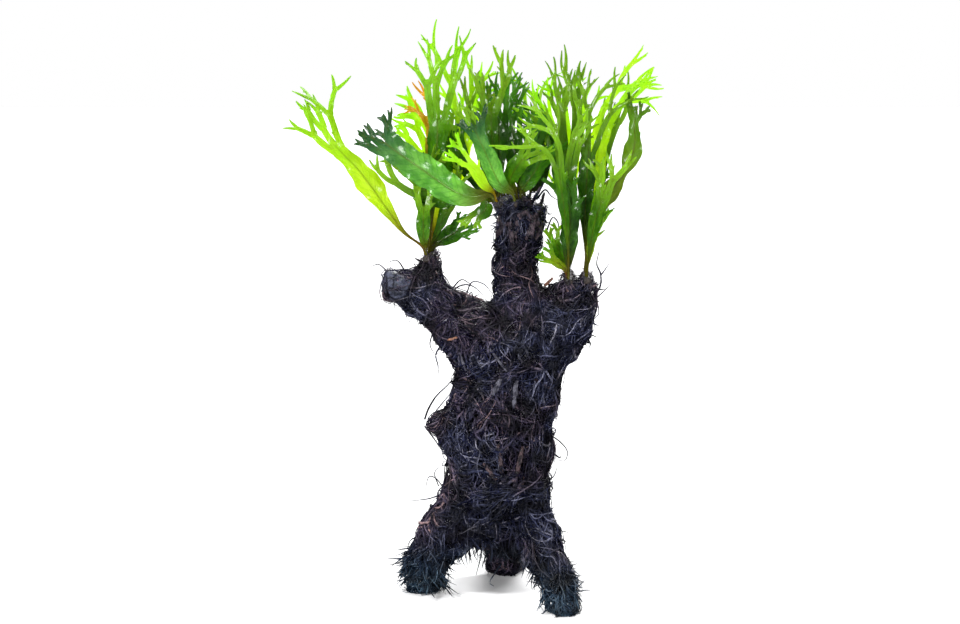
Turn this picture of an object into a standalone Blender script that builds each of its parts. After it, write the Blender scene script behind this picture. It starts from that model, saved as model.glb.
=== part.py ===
"""Crested java fern growing on a root-covered piece of driftwood.

The driftwood is one branching piece, split here at its main forks: a trunk with an arm, a stub, two
branches and a side tuft, and three splayed legs that it stands on. Short rhizomes creep over the sawn
tops, and each carries a rosette of leaves whose tips fork. Every leaf is a solid of its own.

Lengths in the tables below are millimetres, and the model itself is in metres: +X to the right, +Y to
the back, +Z up, with the origin on the floor under the middle of the whole plant.
"""

import math

import bmesh
import bpy
from mathutils import Matrix, Vector

MM = 0.001
GAP = 0.3  # left between pieces that touch
OBJECT_NAME = "java_fern_on_driftwood"

# ---- driftwood ----
GRAIN = 2.4  # of the blank that all the limbs are fused into
LUMP_SIZE = 11
LUMP_DEPTH = 6.5  # hollows and swellings of the root mat
FACES_KEPT = 0.155  # of the fused blank
TRUNK_DEPTH = 0.84  # front to back, as a share of its width

# Each limb is a line of (x, y, z, radius).
LIMBS = {
    "trunk": [
        (8, 3, 30, 16), (7, 2, 42, 25), (8, 1, 52, 28), (9.5, 0, 65, 27), (8, 0, 80, 29.5),
        (10, 0, 94, 28), (13, 0, 106, 27), (14.5, 0, 118, 27), (14, 0, 130, 30), (16, 1, 141, 22),
    ],
    "shoulder_knob": [(-1, -6, 136, 12), (-3, -8, 146, 8.5), (-3, -8, 152, 6)],
    "arm_left": [
        (0, 0, 130, 17), (-12, 0, 141, 15.5), (-25, -1, 151.5, 12), (-37, -3, 159, 9.4),
        (-47, -4, 161.5, 8.2), (-54, -5, 163, 7.6),
    ],
    "arm_left_stub": [(-27, -1, 154, 9), (-26, 0, 165, 7.8), (-25.5, 1, 180, 7.4)],
    "branch_middle": [
        (17, 1, 136, 17), (19, 1, 152, 13.5), (17.5, 1, 165, 11.4), (17.5, 1, 177, 10.8), (19, 1, 190, 12.4),
        (19.3, 1, 206, 12.6),
    ],
    "branch_right": [
        (24, 0, 122, 19), (36, 0, 136, 15.5), (45, 0, 148, 13.4), (48, 0, 160, 11.8), (48.5, 0, 171, 11.5),
    ],
    "leg_left": [(-3, 0, 46, 18), (-15, 1, 36, 15), (-24, 3, 25, 12.5), (-29, 5, 13, 11), (-31, 6, -8, 10.5)],
    "leg_right": [(22, -5, 46, 15), (28, -9, 33, 12), (35, -19, 20, 9.6), (40, -27, 9, 8.8), (43, -32, -8, 8.6)],
    "leg_rear": [(10, 7, 44, 17), (11, 17, 29, 12.5), (11, 29, 16, 11), (12, 40, -6, 10.5)],
    "root_tuft": [(-12, -3, 89, 9), (-19, -4, 91, 7.5), (-26, -5, 91, 6.8)],
}

# Where each limb parts from the wood that carries it: a point on the cut, the way that the limb
# leaves, and how far to each side of that line it reaches.
FORKS = {
    "arm_left_stub": ((-26, 0, 164), (0.02, 0.05, 1), 12),
    "arm_left": ((-12, 0, 139), (-0.85, -0.04, 0.52), 25),
    "branch_middle": ((18.5, 1, 151), (0, 0, 1), 17.5),
    "branch_right": ((37, 0, 138), (0.62, 0, 0.78), 24),
    "leg_left": ((-13, 1, 35), (-0.72, 0.12, -0.68), 24),
    "leg_right": ((27, -8, 35), (0.42, -0.5, -0.75), 19),
    "leg_rear": ((11, 16, 31), (0, 0.62, -0.78), 22),
    "root_tuft": ((-18, -4, 91), (-1, -0.1, 0), 12),
}
LIMB_REACH = 70  # further than any limb runs past its fork

# The ends that are sawn or broken off flat: a point on the cut, the way that it faces, and its width.
FLAT_ENDS = {
    "arm_left_end": ((-48, -4, 161.5), (-0.97, -0.1, 0.1), 30),
    "stub_top": ((-25.5, 1, 172), (0, 0, 1), 17),
    "middle_top": ((19, 1, 199.5), (0, 0, 1), 34),
    "right_top": ((49, 0, 161.5), (0, 0, 1), 16),
    "soles": ((5, 0, 0), (0, 0, -1), 150),
}

# ---- rhizomes: creeping stems that the leaves grow from, each lying on a sawn top ----
RHIZOME_RADIUS = 2.4
RHIZOMES = {
    "rhizome_left": ("stub_top", [(-27, -11), (-26, -4), (-25, 3), (-24.5, 10), (-24, 17)]),
    "rhizome_middle": ("middle_top", [(8, -14), (9, -6), (12, 2), (16, 9), (21, 15)]),
    "rhizome_middle_side": ("middle_top", [(17, -10), (19, -4), (24, 0)]),
    "rhizome_right": ("right_top", [(43, -16), (43, -8), (43.5, 0), (44, 8), (44.5, 17)]),
    "rhizome_right_side": ("right_top", [(52, -13), (52, -5), (52, 3), (52.5, 11)]),
}

# ---- leaves ----
LEAF_ROWS = 6  # stations along a leaf, before its crest
STALK_WIDTH = 1.9
BLADE_THICKNESS = 0.9
BLADE_FOLD = 0.16  # depth of the midrib's fold, as a share of the blade's half width
CREST_PLACE = 0.80  # where the tip starts to fork, along the leaf
PRONG_WIDTH = 1.1

# (place along the leaf, share of the blade's width)
OUTLINES = {
    "strap": [(0, 0), (0.16, 0.05), (0.36, 0.45), (0.6, 1), (0.8, 0.72)],
    "waisted": [(0, 0), (0.2, 0.1), (0.44, 1), (0.56, 0.55), (0.68, 0.9), (0.8, 0.6)],
    "low": [(0, 0), (0.1, 0.2), (0.3, 0.85), (0.52, 1), (0.8, 0.75)],
}

# name: rhizome, place along it, blade width, crest width, outline, twist in degrees, and the points
# that the midrib passes on the way to its tip
LEAVES = {
    "leaf_left_01": ("rhizome_left", 0.20, 14, 21, "waisted", 12,
                     [(-38, -8, 188), (-47, -10, 201), (-59, -11, 218), (-71, -12, 231), (-78, -12, 243),
                      (-87, -12, 259)]),
    "leaf_left_02": ("rhizome_left", 0.38, 8.5, 24, "strap", 20,
                     [(-24, -4, 199), (-22, -3, 221), (-21, -4, 245), (-21, -5, 267), (-19, -5, 289)]),
    "leaf_left_03": ("rhizome_left", 0.66, 11, 18, "strap", -15,
                     [(-25, 9, 200), (-27, 10, 226), (-31, 10, 242), (-43, 10, 251)]),
    "leaf_left_04": ("rhizome_left", 0.90, 9, 14, "strap", 10,
                     [(-18, 17, 197), (-13, 18, 224), (-13, 18, 245), (-15, 18, 256)]),
    "leaf_left_05": ("rhizome_left", 0.78, 8, 13, "strap", 0,
                     [(-15, 12, 200), (-9, 12, 231), (-9, 12, 258), (-5, 12, 285)]),
    "leaf_left_06": ("rhizome_left", 0.56, 9, 10, "low", 0,
                     [(-16, 5, 184), (-9, 4, 189), (-3, 4, 195)]),
    "leaf_left_07": ("rhizome_left", 0.48, 4.5, 10, "strap", 0,
                     [(-27, 3, 206), (-26, 3, 227), (-27, 3, 246), (-37, 3, 256)]),
    "leaf_left_08": ("rhizome_left", 0.29, 5, 8, "strap", 0,
                     [(-27, -9, 195), (-28, -10, 214), (-27, -11, 233)]),
    "leaf_left_09": ("rhizome_left", 0.08, 7, 7, "low", 0,
                     [(-28, -13, 185), (-28, -14, 196), (-27, -14, 207), (-24, -14, 216)]),
    "leaf_middle_01": ("rhizome_middle", 0.11, 17, 20, "low", 8,
                       [(-4, -15, 206), (-13, -17, 209), (-30, -20, 221), (-46, -23, 233), (-57, -24, 245)]),
    "leaf_middle_02": ("rhizome_middle", 0.34, 12, 13, "strap", 0,
                       [(3, -4.5, 208), (-7, -8, 206), (-20, -11, 206), (-33, -13, 213), (-43, -14, 222),
                        (-50, -14, 231)]),
    "leaf_middle_03": ("rhizome_middle", 0.03, 5.5, 8, "low", 0,
                       [(2, -21, 212), (-3, -25, 220), (-11, -28, 228), (-18, -30, 235)]),
    "leaf_middle_04": ("rhizome_middle_side", 0.06, 9, 9, "low", -12,
                       [(9, -18, 213), (2, -25, 229), (-3, -29, 240), (-7, -31, 249)]),
    "leaf_middle_05": ("rhizome_middle", 0.26, 7.5, 16, "strap", 10,
                       [(8, -9, 216), (6, -8, 228), (5, -8, 246), (6, -8, 264), (7, -8, 278)]),
    "leaf_middle_06": ("rhizome_middle_side", 0.30, 9, 11, "low", -10,
                       [(14, -14, 213), (18, -19, 222), (27, -22, 231), (33, -23, 238)]),
    "leaf_middle_07": ("rhizome_middle_side", 0.70, 12, 14, "low", 0,
                       [(21, -2, 213), (24, -1, 224), (26, -1, 236), (23, -1, 248)]),
    "leaf_middle_08": ("rhizome_middle_side", 0.94, 12, 12, "low", 0,
                       [(27, 3, 209), (30, 4, 219), (31, 4.5, 230), (31, 4.5, 241)]),
    "leaf_middle_09": ("rhizome_middle", 0.19, 7, 7, "low", 0,
                       [(2, -11.5, 199), (-3, -12, 195), (-7, -12, 188)]),
    "leaf_middle_10": ("rhizome_middle", 0.55, 8, 12, "strap", 0,
                       [(6, 0, 214), (0, 0, 236), (-2, 0, 251), (0, 0, 266)]),
    "leaf_middle_11": ("rhizome_middle", 0.74, 11, 13, "low", 0,
                       [(4, 7, 207), (-6, 7.5, 217), (-14, 8, 230), (-19, 8, 241)]),
    "leaf_middle_12": ("rhizome_middle", 0.92, 10, 12, "strap", 0,
                       [(17, 17, 216), (13, 19, 234), (12, 20, 250), (10, 21, 262)]),
    "leaf_right_01": ("rhizome_right_side", 0.42, 10.5, 12, "waisted", 18,
                      [(56, -5, 185), (60, -5, 200), (65, -5, 209), (71, -5, 218), (75, -5, 230), (75, -5, 242),
                       (78, -5, 256)]),
    "leaf_right_02": ("rhizome_right_side", 0.78, 12, 18, "strap", 0,
                      [(54, 5, 189), (57, 6, 216), (60, 6, 240), (68, 6, 257), (78, 6, 267), (88, 6, 272)]),
    "leaf_right_03": ("rhizome_right", 0.50, 9, 12, "strap", 0,
                      [(42, 1, 192), (38, 1, 222), (35, 1, 247), (32, 1, 265)]),
    "leaf_right_04": ("rhizome_right", 0.36, 12, 13, "strap", -10,
                      [(43, -6, 194), (42, -7, 222), (41, -8, 248), (41, -8, 268), (42, -8, 279)]),
    "leaf_right_05": ("rhizome_right_side", 0.18, 11, 14, "strap", 8,
                      [(51, -11, 195), (52, -13, 223), (55, -13, 249), (58, -13, 268), (59, -13, 278)]),
    "leaf_right_06": ("rhizome_right_side", 0.94, 8, 11, "strap", 0,
                      [(56, 12, 189), (60, 12, 219), (64, 12, 242), (68, 12, 262)]),
    "leaf_right_07": ("rhizome_right", 0.18, 15, 14, "low", 6,
                      [(43, -17, 192), (42, -18, 213), (43, -18, 230), (47, -18, 246), (49, -18, 258)]),
    "leaf_right_08": ("rhizome_right", 0.07, 9, 9, "low", -8,
                      [(43, -20, 183), (43, -22, 199), (41, -23, 213), (39, -23, 225)]),
    "leaf_right_09": ("rhizome_right_side", 0.06, 7, 6, "strap", 0,
                      [(55, -18, 192), (59, -20, 207), (62, -20, 223), (64, -20, 233)]),
    "leaf_right_10": ("rhizome_right_side", 0.30, 4, 5, "low", 0,
                      [(57, -7.5, 181), (61, -8.5, 190), (64, -9, 199)]),
    "leaf_right_11": ("rhizome_right", 0.12, 4.5, 6, "low", 0,
                      [(38, -14.5, 173), (33, -16, 177), (28, -17, 182)]),
    "leaf_right_12": ("rhizome_right", 0.27, 5, 6, "low", 0,
                      [(39, -8, 177), (36, -9, 186), (34, -9, 196)]),
    "leaf_right_13": ("rhizome_right", 0.80, 9, 11, "strap", 0,
                      [(42, 14, 196), (40, 15, 221), (33, 15, 236), (21, 15, 245), (11, 15, 251)]),
    "leaf_right_14": ("rhizome_right", 0.02, 5, 7, "strap", 0,
                      [(42, -23, 185), (39, -29, 208), (34, -32, 231), (21, -33, 241), (8, -33, 246)]),
    "leaf_right_15": ("rhizome_right", 0.96, 6, 12, "strap", 0,
                      [(43, 21, 199), (37, 24, 224), (28, 25, 240), (18, 25, 256), (18, 25, 269)]),
    "leaf_right_16": ("rhizome_right", 0.64, 6, 10, "strap", 0,
                      [(41, 8, 200), (35, 10, 233), (28, 11, 254), (23, 11, 267)]),
}

# base colour, roughness
FINISHES = {
    "root_mat": ((0.028, 0.022, 0.027, 1), 0.75),
    "rhizome_skin": ((0.075, 0.043, 0.025, 1), 0.6),
    "leaf_pale": ((0.36, 0.58, 0.03, 1), 0.3),
    "leaf_mid": ((0.11, 0.36, 0.03, 1), 0.28),
    "leaf_dark": ((0.035, 0.16, 0.045, 1), 0.25),
    "leaf_decayed": ((0.75, 0.36, 0.03, 1), 0.45),
}
LEAF_TONES = {
    "leaf_pale": ("leaf_left_01", "leaf_left_03", "leaf_left_05", "leaf_middle_03", "leaf_right_02",
                  "leaf_right_10", "leaf_right_11", "leaf_right_14", "leaf_right_16", "leaf_right_15"),
    "leaf_dark": ("leaf_left_06", "leaf_middle_01", "leaf_middle_04", "leaf_middle_07", "leaf_middle_08",
                  "leaf_middle_11", "leaf_right_13", "leaf_right_08", "leaf_middle_12"),
    "leaf_decayed": ("leaf_left_07",),
}


def clear_scene():
    for obj in list(bpy.data.objects):
        bpy.data.objects.remove(obj)


def new_collection(name):
    made = bpy.data.collections.new(name)
    bpy.context.scene.collection.children.link(made)
    return made


def new_material(name):
    colour, roughness = FINISHES[name]
    made = bpy.data.materials.new(name)
    made.use_nodes = True
    shader = made.node_tree.nodes["Principled BSDF"]
    shader.inputs["Base Color"].default_value = colour
    shader.inputs["Roughness"].default_value = roughness
    made.diffuse_color = colour
    return made


def new_object(name, mesh, collection):
    made = bpy.data.objects.new(name, mesh)
    collection.objects.link(made)
    return made


def freeze(obj):
    """Turn what the modifiers make into the object's own mesh."""
    graph = bpy.context.evaluated_depsgraph_get()
    mesh = bpy.data.meshes.new_from_object(obj.evaluated_get(graph))
    obj.modifiers.clear()
    old = obj.data
    obj.data = mesh
    if isinstance(old, bpy.types.Mesh):
        bpy.data.meshes.remove(old)


def make_tube(name, line, resolution, collection):
    """A round rod along (x, y, z, radius) points in millimetres, with closed ends."""
    curve = bpy.data.curves.new(name, "CURVE")
    curve.dimensions = "3D"
    curve.bevel_depth = MM
    curve.bevel_resolution = resolution
    curve.use_fill_caps = True
    spline = curve.splines.new("POLY")
    spline.points.add(len(line) - 1)
    for point, (x, y, z, radius) in zip(spline.points, line):
        point.co = (x * MM, y * MM, z * MM, 1)
        point.radius = radius
    rod = bpy.data.objects.new(name, curve)
    collection.objects.link(rod)
    mesh = bpy.data.meshes.new_from_object(rod)
    bpy.data.objects.remove(rod)
    shaper = bmesh.new()
    shaper.from_mesh(mesh)
    bmesh.ops.remove_doubles(shaper, verts=shaper.verts, dist=0.0001)
    bmesh.ops.recalc_face_normals(shaper, faces=shaper.faces)
    shaper.to_mesh(mesh)
    shaper.free()
    return mesh


def turned_to(direction):
    return Vector(direction).normalized().to_track_quat("Z", "Y").to_matrix().to_4x4()


def make_cutter(name, point, direction, half_width, collection, growth):
    """A square block that starts at the point and runs on the way it faces."""
    depth = (LIMB_REACH + growth) * MM
    width = 2 * (half_width + growth) * MM
    shaper = bmesh.new()
    bmesh.ops.create_cube(shaper, size=1)
    bmesh.ops.scale(shaper, vec=(width, width, depth), verts=shaper.verts)
    bmesh.ops.translate(shaper, vec=(0, 0, depth / 2 - growth * MM), verts=shaper.verts)
    place = Matrix.Translation(Vector(point) * MM) @ turned_to(direction)
    bmesh.ops.transform(shaper, matrix=place, verts=shaper.verts)
    mesh = bpy.data.meshes.new(name)
    shaper.to_mesh(mesh)
    shaper.free()
    cutter = new_object(name, mesh, collection)
    cutter.hide_render = True
    cutter.display_type = "WIRE"
    return cutter


def cut(obj, cutter, operation):
    modifier = obj.modifiers.new(cutter.name, "BOOLEAN")
    modifier.operation = operation
    modifier.solver = "EXACT"
    modifier.object = cutter
    freeze(obj)


def keep_largest(obj):
    """Drop the crumbs that a cut leaves beside a limb."""
    shaper = bmesh.new()
    shaper.from_mesh(obj.data)
    left = set(shaper.verts)
    islands = []
    while left:
        island = set()
        edge_of = [left.pop()]
        while edge_of:
            vert = edge_of.pop()
            island.add(vert)
            for edge in vert.link_edges:
                other = edge.other_vert(vert)
                if other in left:
                    left.discard(other)
                    edge_of.append(other)
        islands.append(island)
    islands.sort(key=len)
    for island in islands[:-1]:
        bmesh.ops.delete(shaper, geom=list(island), context="VERTS")
    shaper.to_mesh(obj.data)
    shaper.free()


def make_blank(collection):
    """All the limbs fused into one lumpy piece of wood, before the forks are cut."""
    fused = bmesh.new()
    for name, line in LIMBS.items():
        mesh = make_tube(name, line, 3, collection)
        if name == "trunk":
            mesh.transform(Matrix.Diagonal((1, TRUNK_DEPTH, 1, 1)))
        fused.from_mesh(mesh)
        bpy.data.meshes.remove(mesh)
    mesh = bpy.data.meshes.new("blank")
    fused.to_mesh(mesh)
    fused.free()
    blank = new_object("blank", mesh, collection)
    remesh = blank.modifiers.new("fuse", "REMESH")
    remesh.mode = "VOXEL"
    remesh.voxel_size = GRAIN * MM
    smooth = blank.modifiers.new("soften", "SMOOTH")
    smooth.iterations = 4
    lumps = bpy.data.textures.new("lumps", "CLOUDS")
    lumps.noise_scale = LUMP_SIZE * MM
    lumps.noise_depth = 1
    displace = blank.modifiers.new("lumps", "DISPLACE")
    displace.texture = lumps
    displace.texture_coords = "LOCAL"
    displace.strength = LUMP_DEPTH * MM
    displace.mid_level = 0.62
    decimate = blank.modifiers.new("thin_out", "DECIMATE")
    decimate.ratio = FACES_KEPT
    freeze(blank)
    return blank


def make_driftwood(parts, cutters, material):
    blank = make_blank(parts)
    for name, (point, direction, width) in FLAT_ENDS.items():
        cutter = make_cutter("cut_" + name, point, direction, width, cutters, 0)
        cut(blank, cutter, "DIFFERENCE")
    keep_largest(blank)
    for name, (point, direction, width) in FORKS.items():
        limb = new_object(name, blank.data.copy(), parts)
        cut(limb, make_cutter("fork_" + name, point, direction, width, cutters, 0), "INTERSECT")
        keep_largest(limb)
        cut(blank, make_cutter("gap_" + name, point, direction, width, cutters, GAP), "DIFFERENCE")
        keep_largest(blank)
        finish_piece(limb, material, 50)
    blank.name = "trunk"
    blank.data.name = "trunk"
    finish_piece(blank, material, 50)


def finish_piece(obj, material, sharp_angle):
    obj.data.name = obj.name
    obj.data.materials.clear()
    obj.data.materials.append(material)
    obj.data.shade_smooth()
    obj.data.set_sharp_from_angle(angle=math.radians(sharp_angle))


def rhizome_line(name):
    top, points = RHIZOMES[name]
    height = FLAT_ENDS[top][0][2] + GAP + RHIZOME_RADIUS
    return [Vector((x, y, height)) for x, y in points]


def point_along(line, place):
    """The point at a share of the length of a line of points."""
    lengths = [(b - a).length for a, b in zip(line, line[1:])]
    wanted = place * sum(lengths)
    for a, b, length in zip(line, line[1:], lengths):
        if wanted <= length:
            return a.lerp(b, wanted / length)
        wanted -= length
    return line[-1].copy()


def make_rhizomes(parts, material):
    for name in RHIZOMES:
        points = rhizome_line(name)
        line = [(*point, RHIZOME_RADIUS) for point in points]
        start, end = line[0], line[-1]
        line[0] = (*start[:3], RHIZOME_RADIUS * 0.8)
        line[-1] = (*end[:3], RHIZOME_RADIUS * 0.8)
        mesh = make_tube(name, line, 1, parts)
        finish_piece(new_object(name, mesh, parts), material, 60)


def smooth_line(points, steps):
    """A smooth line through all of the points."""
    line = []
    ends = [points[0] * 2 - points[1], *points, points[-1] * 2 - points[-2]]
    for a, b, c, d in zip(ends, ends[1:], ends[2:], ends[3:]):
        for step in range(steps):
            t = step / steps
            line.append(0.5 * (2 * b + (c - a) * t + (2 * a - 5 * b + 4 * c - d) * t ** 2
                               + (3 * b - a - 3 * c + d) * t ** 3))
    line.append(points[-1].copy())
    return line


def share_at(outline, place):
    for (a, wide_a), (b, wide_b) in zip(outline, outline[1:]):
        if place <= b:
            return wide_a + (wide_b - wide_a) * (place - a) / (b - a)
    return outline[-1][1]


def leaf_spine(rhizome, place, points):
    """The midrib from the skin of the rhizome to the tip."""
    root = point_along(rhizome_line(rhizome), place)
    first = Vector(points[0])
    toward = (first - root).normalized()
    toward = (toward + Vector((0, 0, 0.6))).normalized()
    base = root + toward * (RHIZOME_RADIUS + GAP + 0.15)
    above = base + toward * 4
    return smooth_line([base, above, *[Vector(point) for point in points]], 8)


def make_leaf(name, parts, material):
    rhizome, place, width, crest, outline, twist, points = LEAVES[name]
    spine = leaf_spine(rhizome, place, points)

    def frame_at(share):
        here = point_along(spine, share)
        before, after = max(0, share - 0.02), min(1, share + 0.02)
        along = (point_along(spine, after) - point_along(spine, before)).normalized()
        across = along.cross(Vector((0, 1, 0))).normalized() * -1
        across.rotate(Matrix.Rotation(math.radians(twist) * share, 3, along))
        return here, along, across, across.cross(along).normalized()

    shaper = bmesh.new()
    bmesh.ops.create_grid(shaper, x_segments=2, y_segments=LEAF_ROWS, size=1)
    tips = []
    for vert in shaper.verts:
        side = round(vert.co.x)
        share = (vert.co.y + 1) / 2 * CREST_PLACE
        here, along, across, face = frame_at(share)
        half = max(STALK_WIDTH, width * share_at(OUTLINES[outline], share)) / 2
        if vert.co.y > 0.99:
            tips.append((side, vert))
        vert.co = here + across * side * half - face * abs(side) * half * BLADE_FOLD
    tips = [vert for _, vert in sorted(tips, key=lambda pair: pair[0])]

    # the crest: the tip splits in two arms, and each arm in two prongs
    length = sum((b - a).length for a, b in zip(spine, spine[1:]))
    reach = length * (1 - CREST_PLACE)
    here, along, across, _ = frame_at(CREST_PLACE)
    end = spine[-1]
    bend = end - here - along * reach
    arm = min(PRONG_WIDTH * 1.2, crest * 0.15)
    prong = min(PRONG_WIDTH * 0.4, crest * 0.06)
    for side, left, right in ((-1, tips[0], tips[1]), (1, tips[1], tips[2])):
        middle = here.lerp(end, 0.5) + across * side * crest * 0.2
        outer = middle + across * side * arm - along * reach * 0.08
        inner = middle - across * side * arm + along * reach * 0.08
        centre = middle + along * reach * 0.1
        corners = (outer, centre, inner) if side < 0 else (inner, centre, outer)
        row = [shaper.verts.new(corner) for corner in corners]
        shaper.faces.new((left, right, row[2], row[1], row[0]))
        for lean, first, second in ((-1, row[0], row[1]), (1, row[1], row[2])):
            outward = lean == side
            tip = here + across * side * crest * (0.5 if outward else 0.14)
            tip += along * reach * (0.7 if outward else 0.98) + bend * 0.8
            tip_left = shaper.verts.new(tip - across * prong)
            tip_right = shaper.verts.new(tip + across * prong)
            shaper.faces.new((first, second, tip_right, tip_left))
    bmesh.ops.scale(shaper, vec=(MM, MM, MM), verts=shaper.verts)
    bmesh.ops.recalc_face_normals(shaper, faces=shaper.faces)
    mesh = bpy.data.meshes.new(name)
    shaper.to_mesh(mesh)
    shaper.free()
    leaf = new_object(name, mesh, parts)
    solidify = leaf.modifiers.new("thickness", "SOLIDIFY")
    solidify.thickness = BLADE_THICKNESS * MM
    solidify.offset = 0
    freeze(leaf)
    finish_piece(leaf, material, 40)


def leaf_tone(name):
    for tone, names in LEAF_TONES.items():
        if name in names:
            return tone
    return "leaf_mid"


def centre_on_floor(parts, cutters):
    """Put the middle of the plant's footprint at the origin, with its lowest point on the floor."""
    places = [vert.co for obj in parts.objects for vert in obj.data.vertices]
    low = [min(place[axis] for place in places) for axis in range(3)]
    high = [max(place[axis] for place in places) for axis in range(3)]
    shift = Matrix.Translation((-(low[0] + high[0]) / 2, -(low[1] + high[1]) / 2, -low[2]))
    for obj in (*parts.objects, *cutters.objects):
        obj.data.transform(shift)


def main():
    clear_scene()
    parts = new_collection(OBJECT_NAME)
    cutters = new_collection("cutters")
    materials = {name: new_material(name) for name in FINISHES}
    make_driftwood(parts, cutters, materials["root_mat"])
    make_rhizomes(parts, materials["rhizome_skin"])
    for name in LEAVES:
        make_leaf(name, parts, materials[leaf_tone(name)])
    centre_on_floor(parts, cutters)


main()
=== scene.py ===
import math
import random

import bmesh
import bpy
import numpy as np
from mathutils import Matrix, Vector, noise
from mathutils.bvhtree import BVHTree
from mathutils.geometry import delaunay_2d_cdt


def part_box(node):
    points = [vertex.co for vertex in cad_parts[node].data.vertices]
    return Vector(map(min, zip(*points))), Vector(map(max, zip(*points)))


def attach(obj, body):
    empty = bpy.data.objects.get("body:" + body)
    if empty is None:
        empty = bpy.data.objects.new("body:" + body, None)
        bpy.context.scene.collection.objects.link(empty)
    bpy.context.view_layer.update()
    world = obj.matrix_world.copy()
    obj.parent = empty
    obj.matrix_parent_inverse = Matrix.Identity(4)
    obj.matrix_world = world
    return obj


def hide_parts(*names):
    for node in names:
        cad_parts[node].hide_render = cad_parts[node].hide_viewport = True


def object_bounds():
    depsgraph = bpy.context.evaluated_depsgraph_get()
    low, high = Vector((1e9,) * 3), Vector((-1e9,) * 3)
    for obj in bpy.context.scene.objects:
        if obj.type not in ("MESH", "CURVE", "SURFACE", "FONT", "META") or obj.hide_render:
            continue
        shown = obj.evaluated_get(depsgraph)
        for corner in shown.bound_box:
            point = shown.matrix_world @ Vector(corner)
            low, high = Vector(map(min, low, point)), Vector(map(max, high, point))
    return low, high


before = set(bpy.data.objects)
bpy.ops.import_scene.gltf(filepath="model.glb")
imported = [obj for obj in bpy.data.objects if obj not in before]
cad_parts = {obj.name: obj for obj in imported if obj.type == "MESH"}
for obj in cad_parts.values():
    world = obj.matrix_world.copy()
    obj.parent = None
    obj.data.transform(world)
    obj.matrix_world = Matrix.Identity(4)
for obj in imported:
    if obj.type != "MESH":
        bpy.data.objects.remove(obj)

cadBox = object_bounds()
bpy.context.scene.view_settings.view_transform = "Standard"
mm = 0.001

woodNodes = ["trunk", "arm_left", "arm_left_stub", "branch_middle", "branch_right",
             "leg_left", "leg_right", "leg_rear", "root_tuft"]


# small helpers
def pickOnly(obj):
    for other in bpy.context.selected_objects:
        other.select_set(False)
    obj.select_set(True)
    bpy.context.view_layer.objects.active = obj


def applyModifier(obj, kind, **settings):
    pickOnly(obj)
    modifier = obj.modifiers.new(kind.lower(), kind)
    for key, value in settings.items():
        setattr(modifier, key, value)
    bpy.ops.object.modifier_apply(modifier=modifier.name)


def roughen(obj, name, size, strength, level, depth=3):
    # pushes cloud noise into a surface
    texture = bpy.data.textures.new(name, "CLOUDS")
    texture.noise_scale = size
    texture.noise_depth = depth
    applyModifier(obj, "DISPLACE", texture=texture, texture_coords="LOCAL", strength=strength,
                  mid_level=level)


def copyNode(node, name):
    # a merged copy of a CAD node, free to be reshaped
    mesh = bpy.data.objects[node].data.copy()
    shaper = bmesh.new()
    shaper.from_mesh(mesh)
    bmesh.ops.remove_doubles(shaper, verts=shaper.verts, dist=0.00001)
    shaper.to_mesh(mesh)
    shaper.free()
    mesh.materials.clear()
    made = bpy.data.objects.new(name, mesh)
    bpy.context.scene.collection.objects.link(made)
    return made


def joinAll(objs, name):
    pickOnly(objs[0])
    for obj in objs[1:]:
        obj.select_set(True)
    bpy.ops.object.join()
    objs[0].name = name
    objs[0].data.name = name
    return objs[0]


def finishPiece(obj, material, nodes=()):
    obj.data.materials.clear()
    obj.data.materials.append(material)
    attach(obj, "root")
    if nodes:
        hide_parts(*nodes)


def boxCenter(node):
    low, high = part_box(node)
    return (Vector(low) + Vector(high)) / 2


# materials
def newMaterial(name, roughness, specular=0.5):
    made = bpy.data.materials.new(name)
    made.use_nodes = True
    shader = made.node_tree.nodes["Principled BSDF"]
    shader.inputs["Roughness"].default_value = roughness
    shader.inputs["Specular IOR Level"].default_value = specular
    return made, made.node_tree.nodes, made.node_tree.links, shader


def ramp(nodes, links, source, stops):
    made = nodes.new("ShaderNodeValToRGB")
    elements = made.color_ramp.elements
    while len(elements) < len(stops):
        elements.new(0.5)
    for element, (place, colour) in zip(elements, stops):
        element.position = place
        element.color = (*colour, 1)
    links.new(source, made.inputs["Fac"])
    return made.outputs["Color"]


def plug(links, socket, value):
    # a number, a colour or another node's output
    if isinstance(value, (int, float)):
        socket.default_value = value
    elif isinstance(value, tuple):
        socket.default_value = (*value, 1)
    else:
        links.new(value, socket)


def mix(nodes, links, factor, first, second, blend="MIX"):
    made = nodes.new("ShaderNodeMix")
    made.data_type = "RGBA"
    made.blend_type = blend
    for index, value in ((0, factor), (6, first), (7, second)):
        plug(links, made.inputs[index], value)
    return made.outputs[2]


def calc(nodes, links, operation, first, second=0.0, third=0.0):
    made = nodes.new("ShaderNodeMath")
    made.operation = operation
    for socket, value in zip(made.inputs, (first, second, third)):
        plug(links, socket, value)
    return made.outputs[0]


def rangeOf(nodes, links, source, low, high, toLow=0.0, toHigh=1.0):
    made = nodes.new("ShaderNodeMapRange")
    made.interpolation_type = "SMOOTHSTEP"
    for index, value in enumerate((low, high, toLow, toHigh)):
        made.inputs[index + 1].default_value = value
    links.new(source, made.inputs[0])
    return made.outputs[0]


def objectPlace(nodes):
    return nodes.new("ShaderNodeTexCoord").outputs["Object"]


def attributeOf(nodes, name):
    made = nodes.new("ShaderNodeAttribute")
    made.attribute_name = name
    return made


def splitVector(nodes, links, vector):
    made = nodes.new("ShaderNodeSeparateXYZ")
    links.new(vector, made.inputs[0])
    return made.outputs


def noiseAt(nodes, links, scale, detail=2.0, vector=None, roughness=0.55):
    made = nodes.new("ShaderNodeTexNoise")
    plug(links, made.inputs["Scale"], scale)
    made.inputs["Detail"].default_value = detail
    made.inputs["Roughness"].default_value = roughness
    links.new(vector or objectPlace(nodes), made.inputs["Vector"])
    return made.outputs["Fac"]


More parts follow.
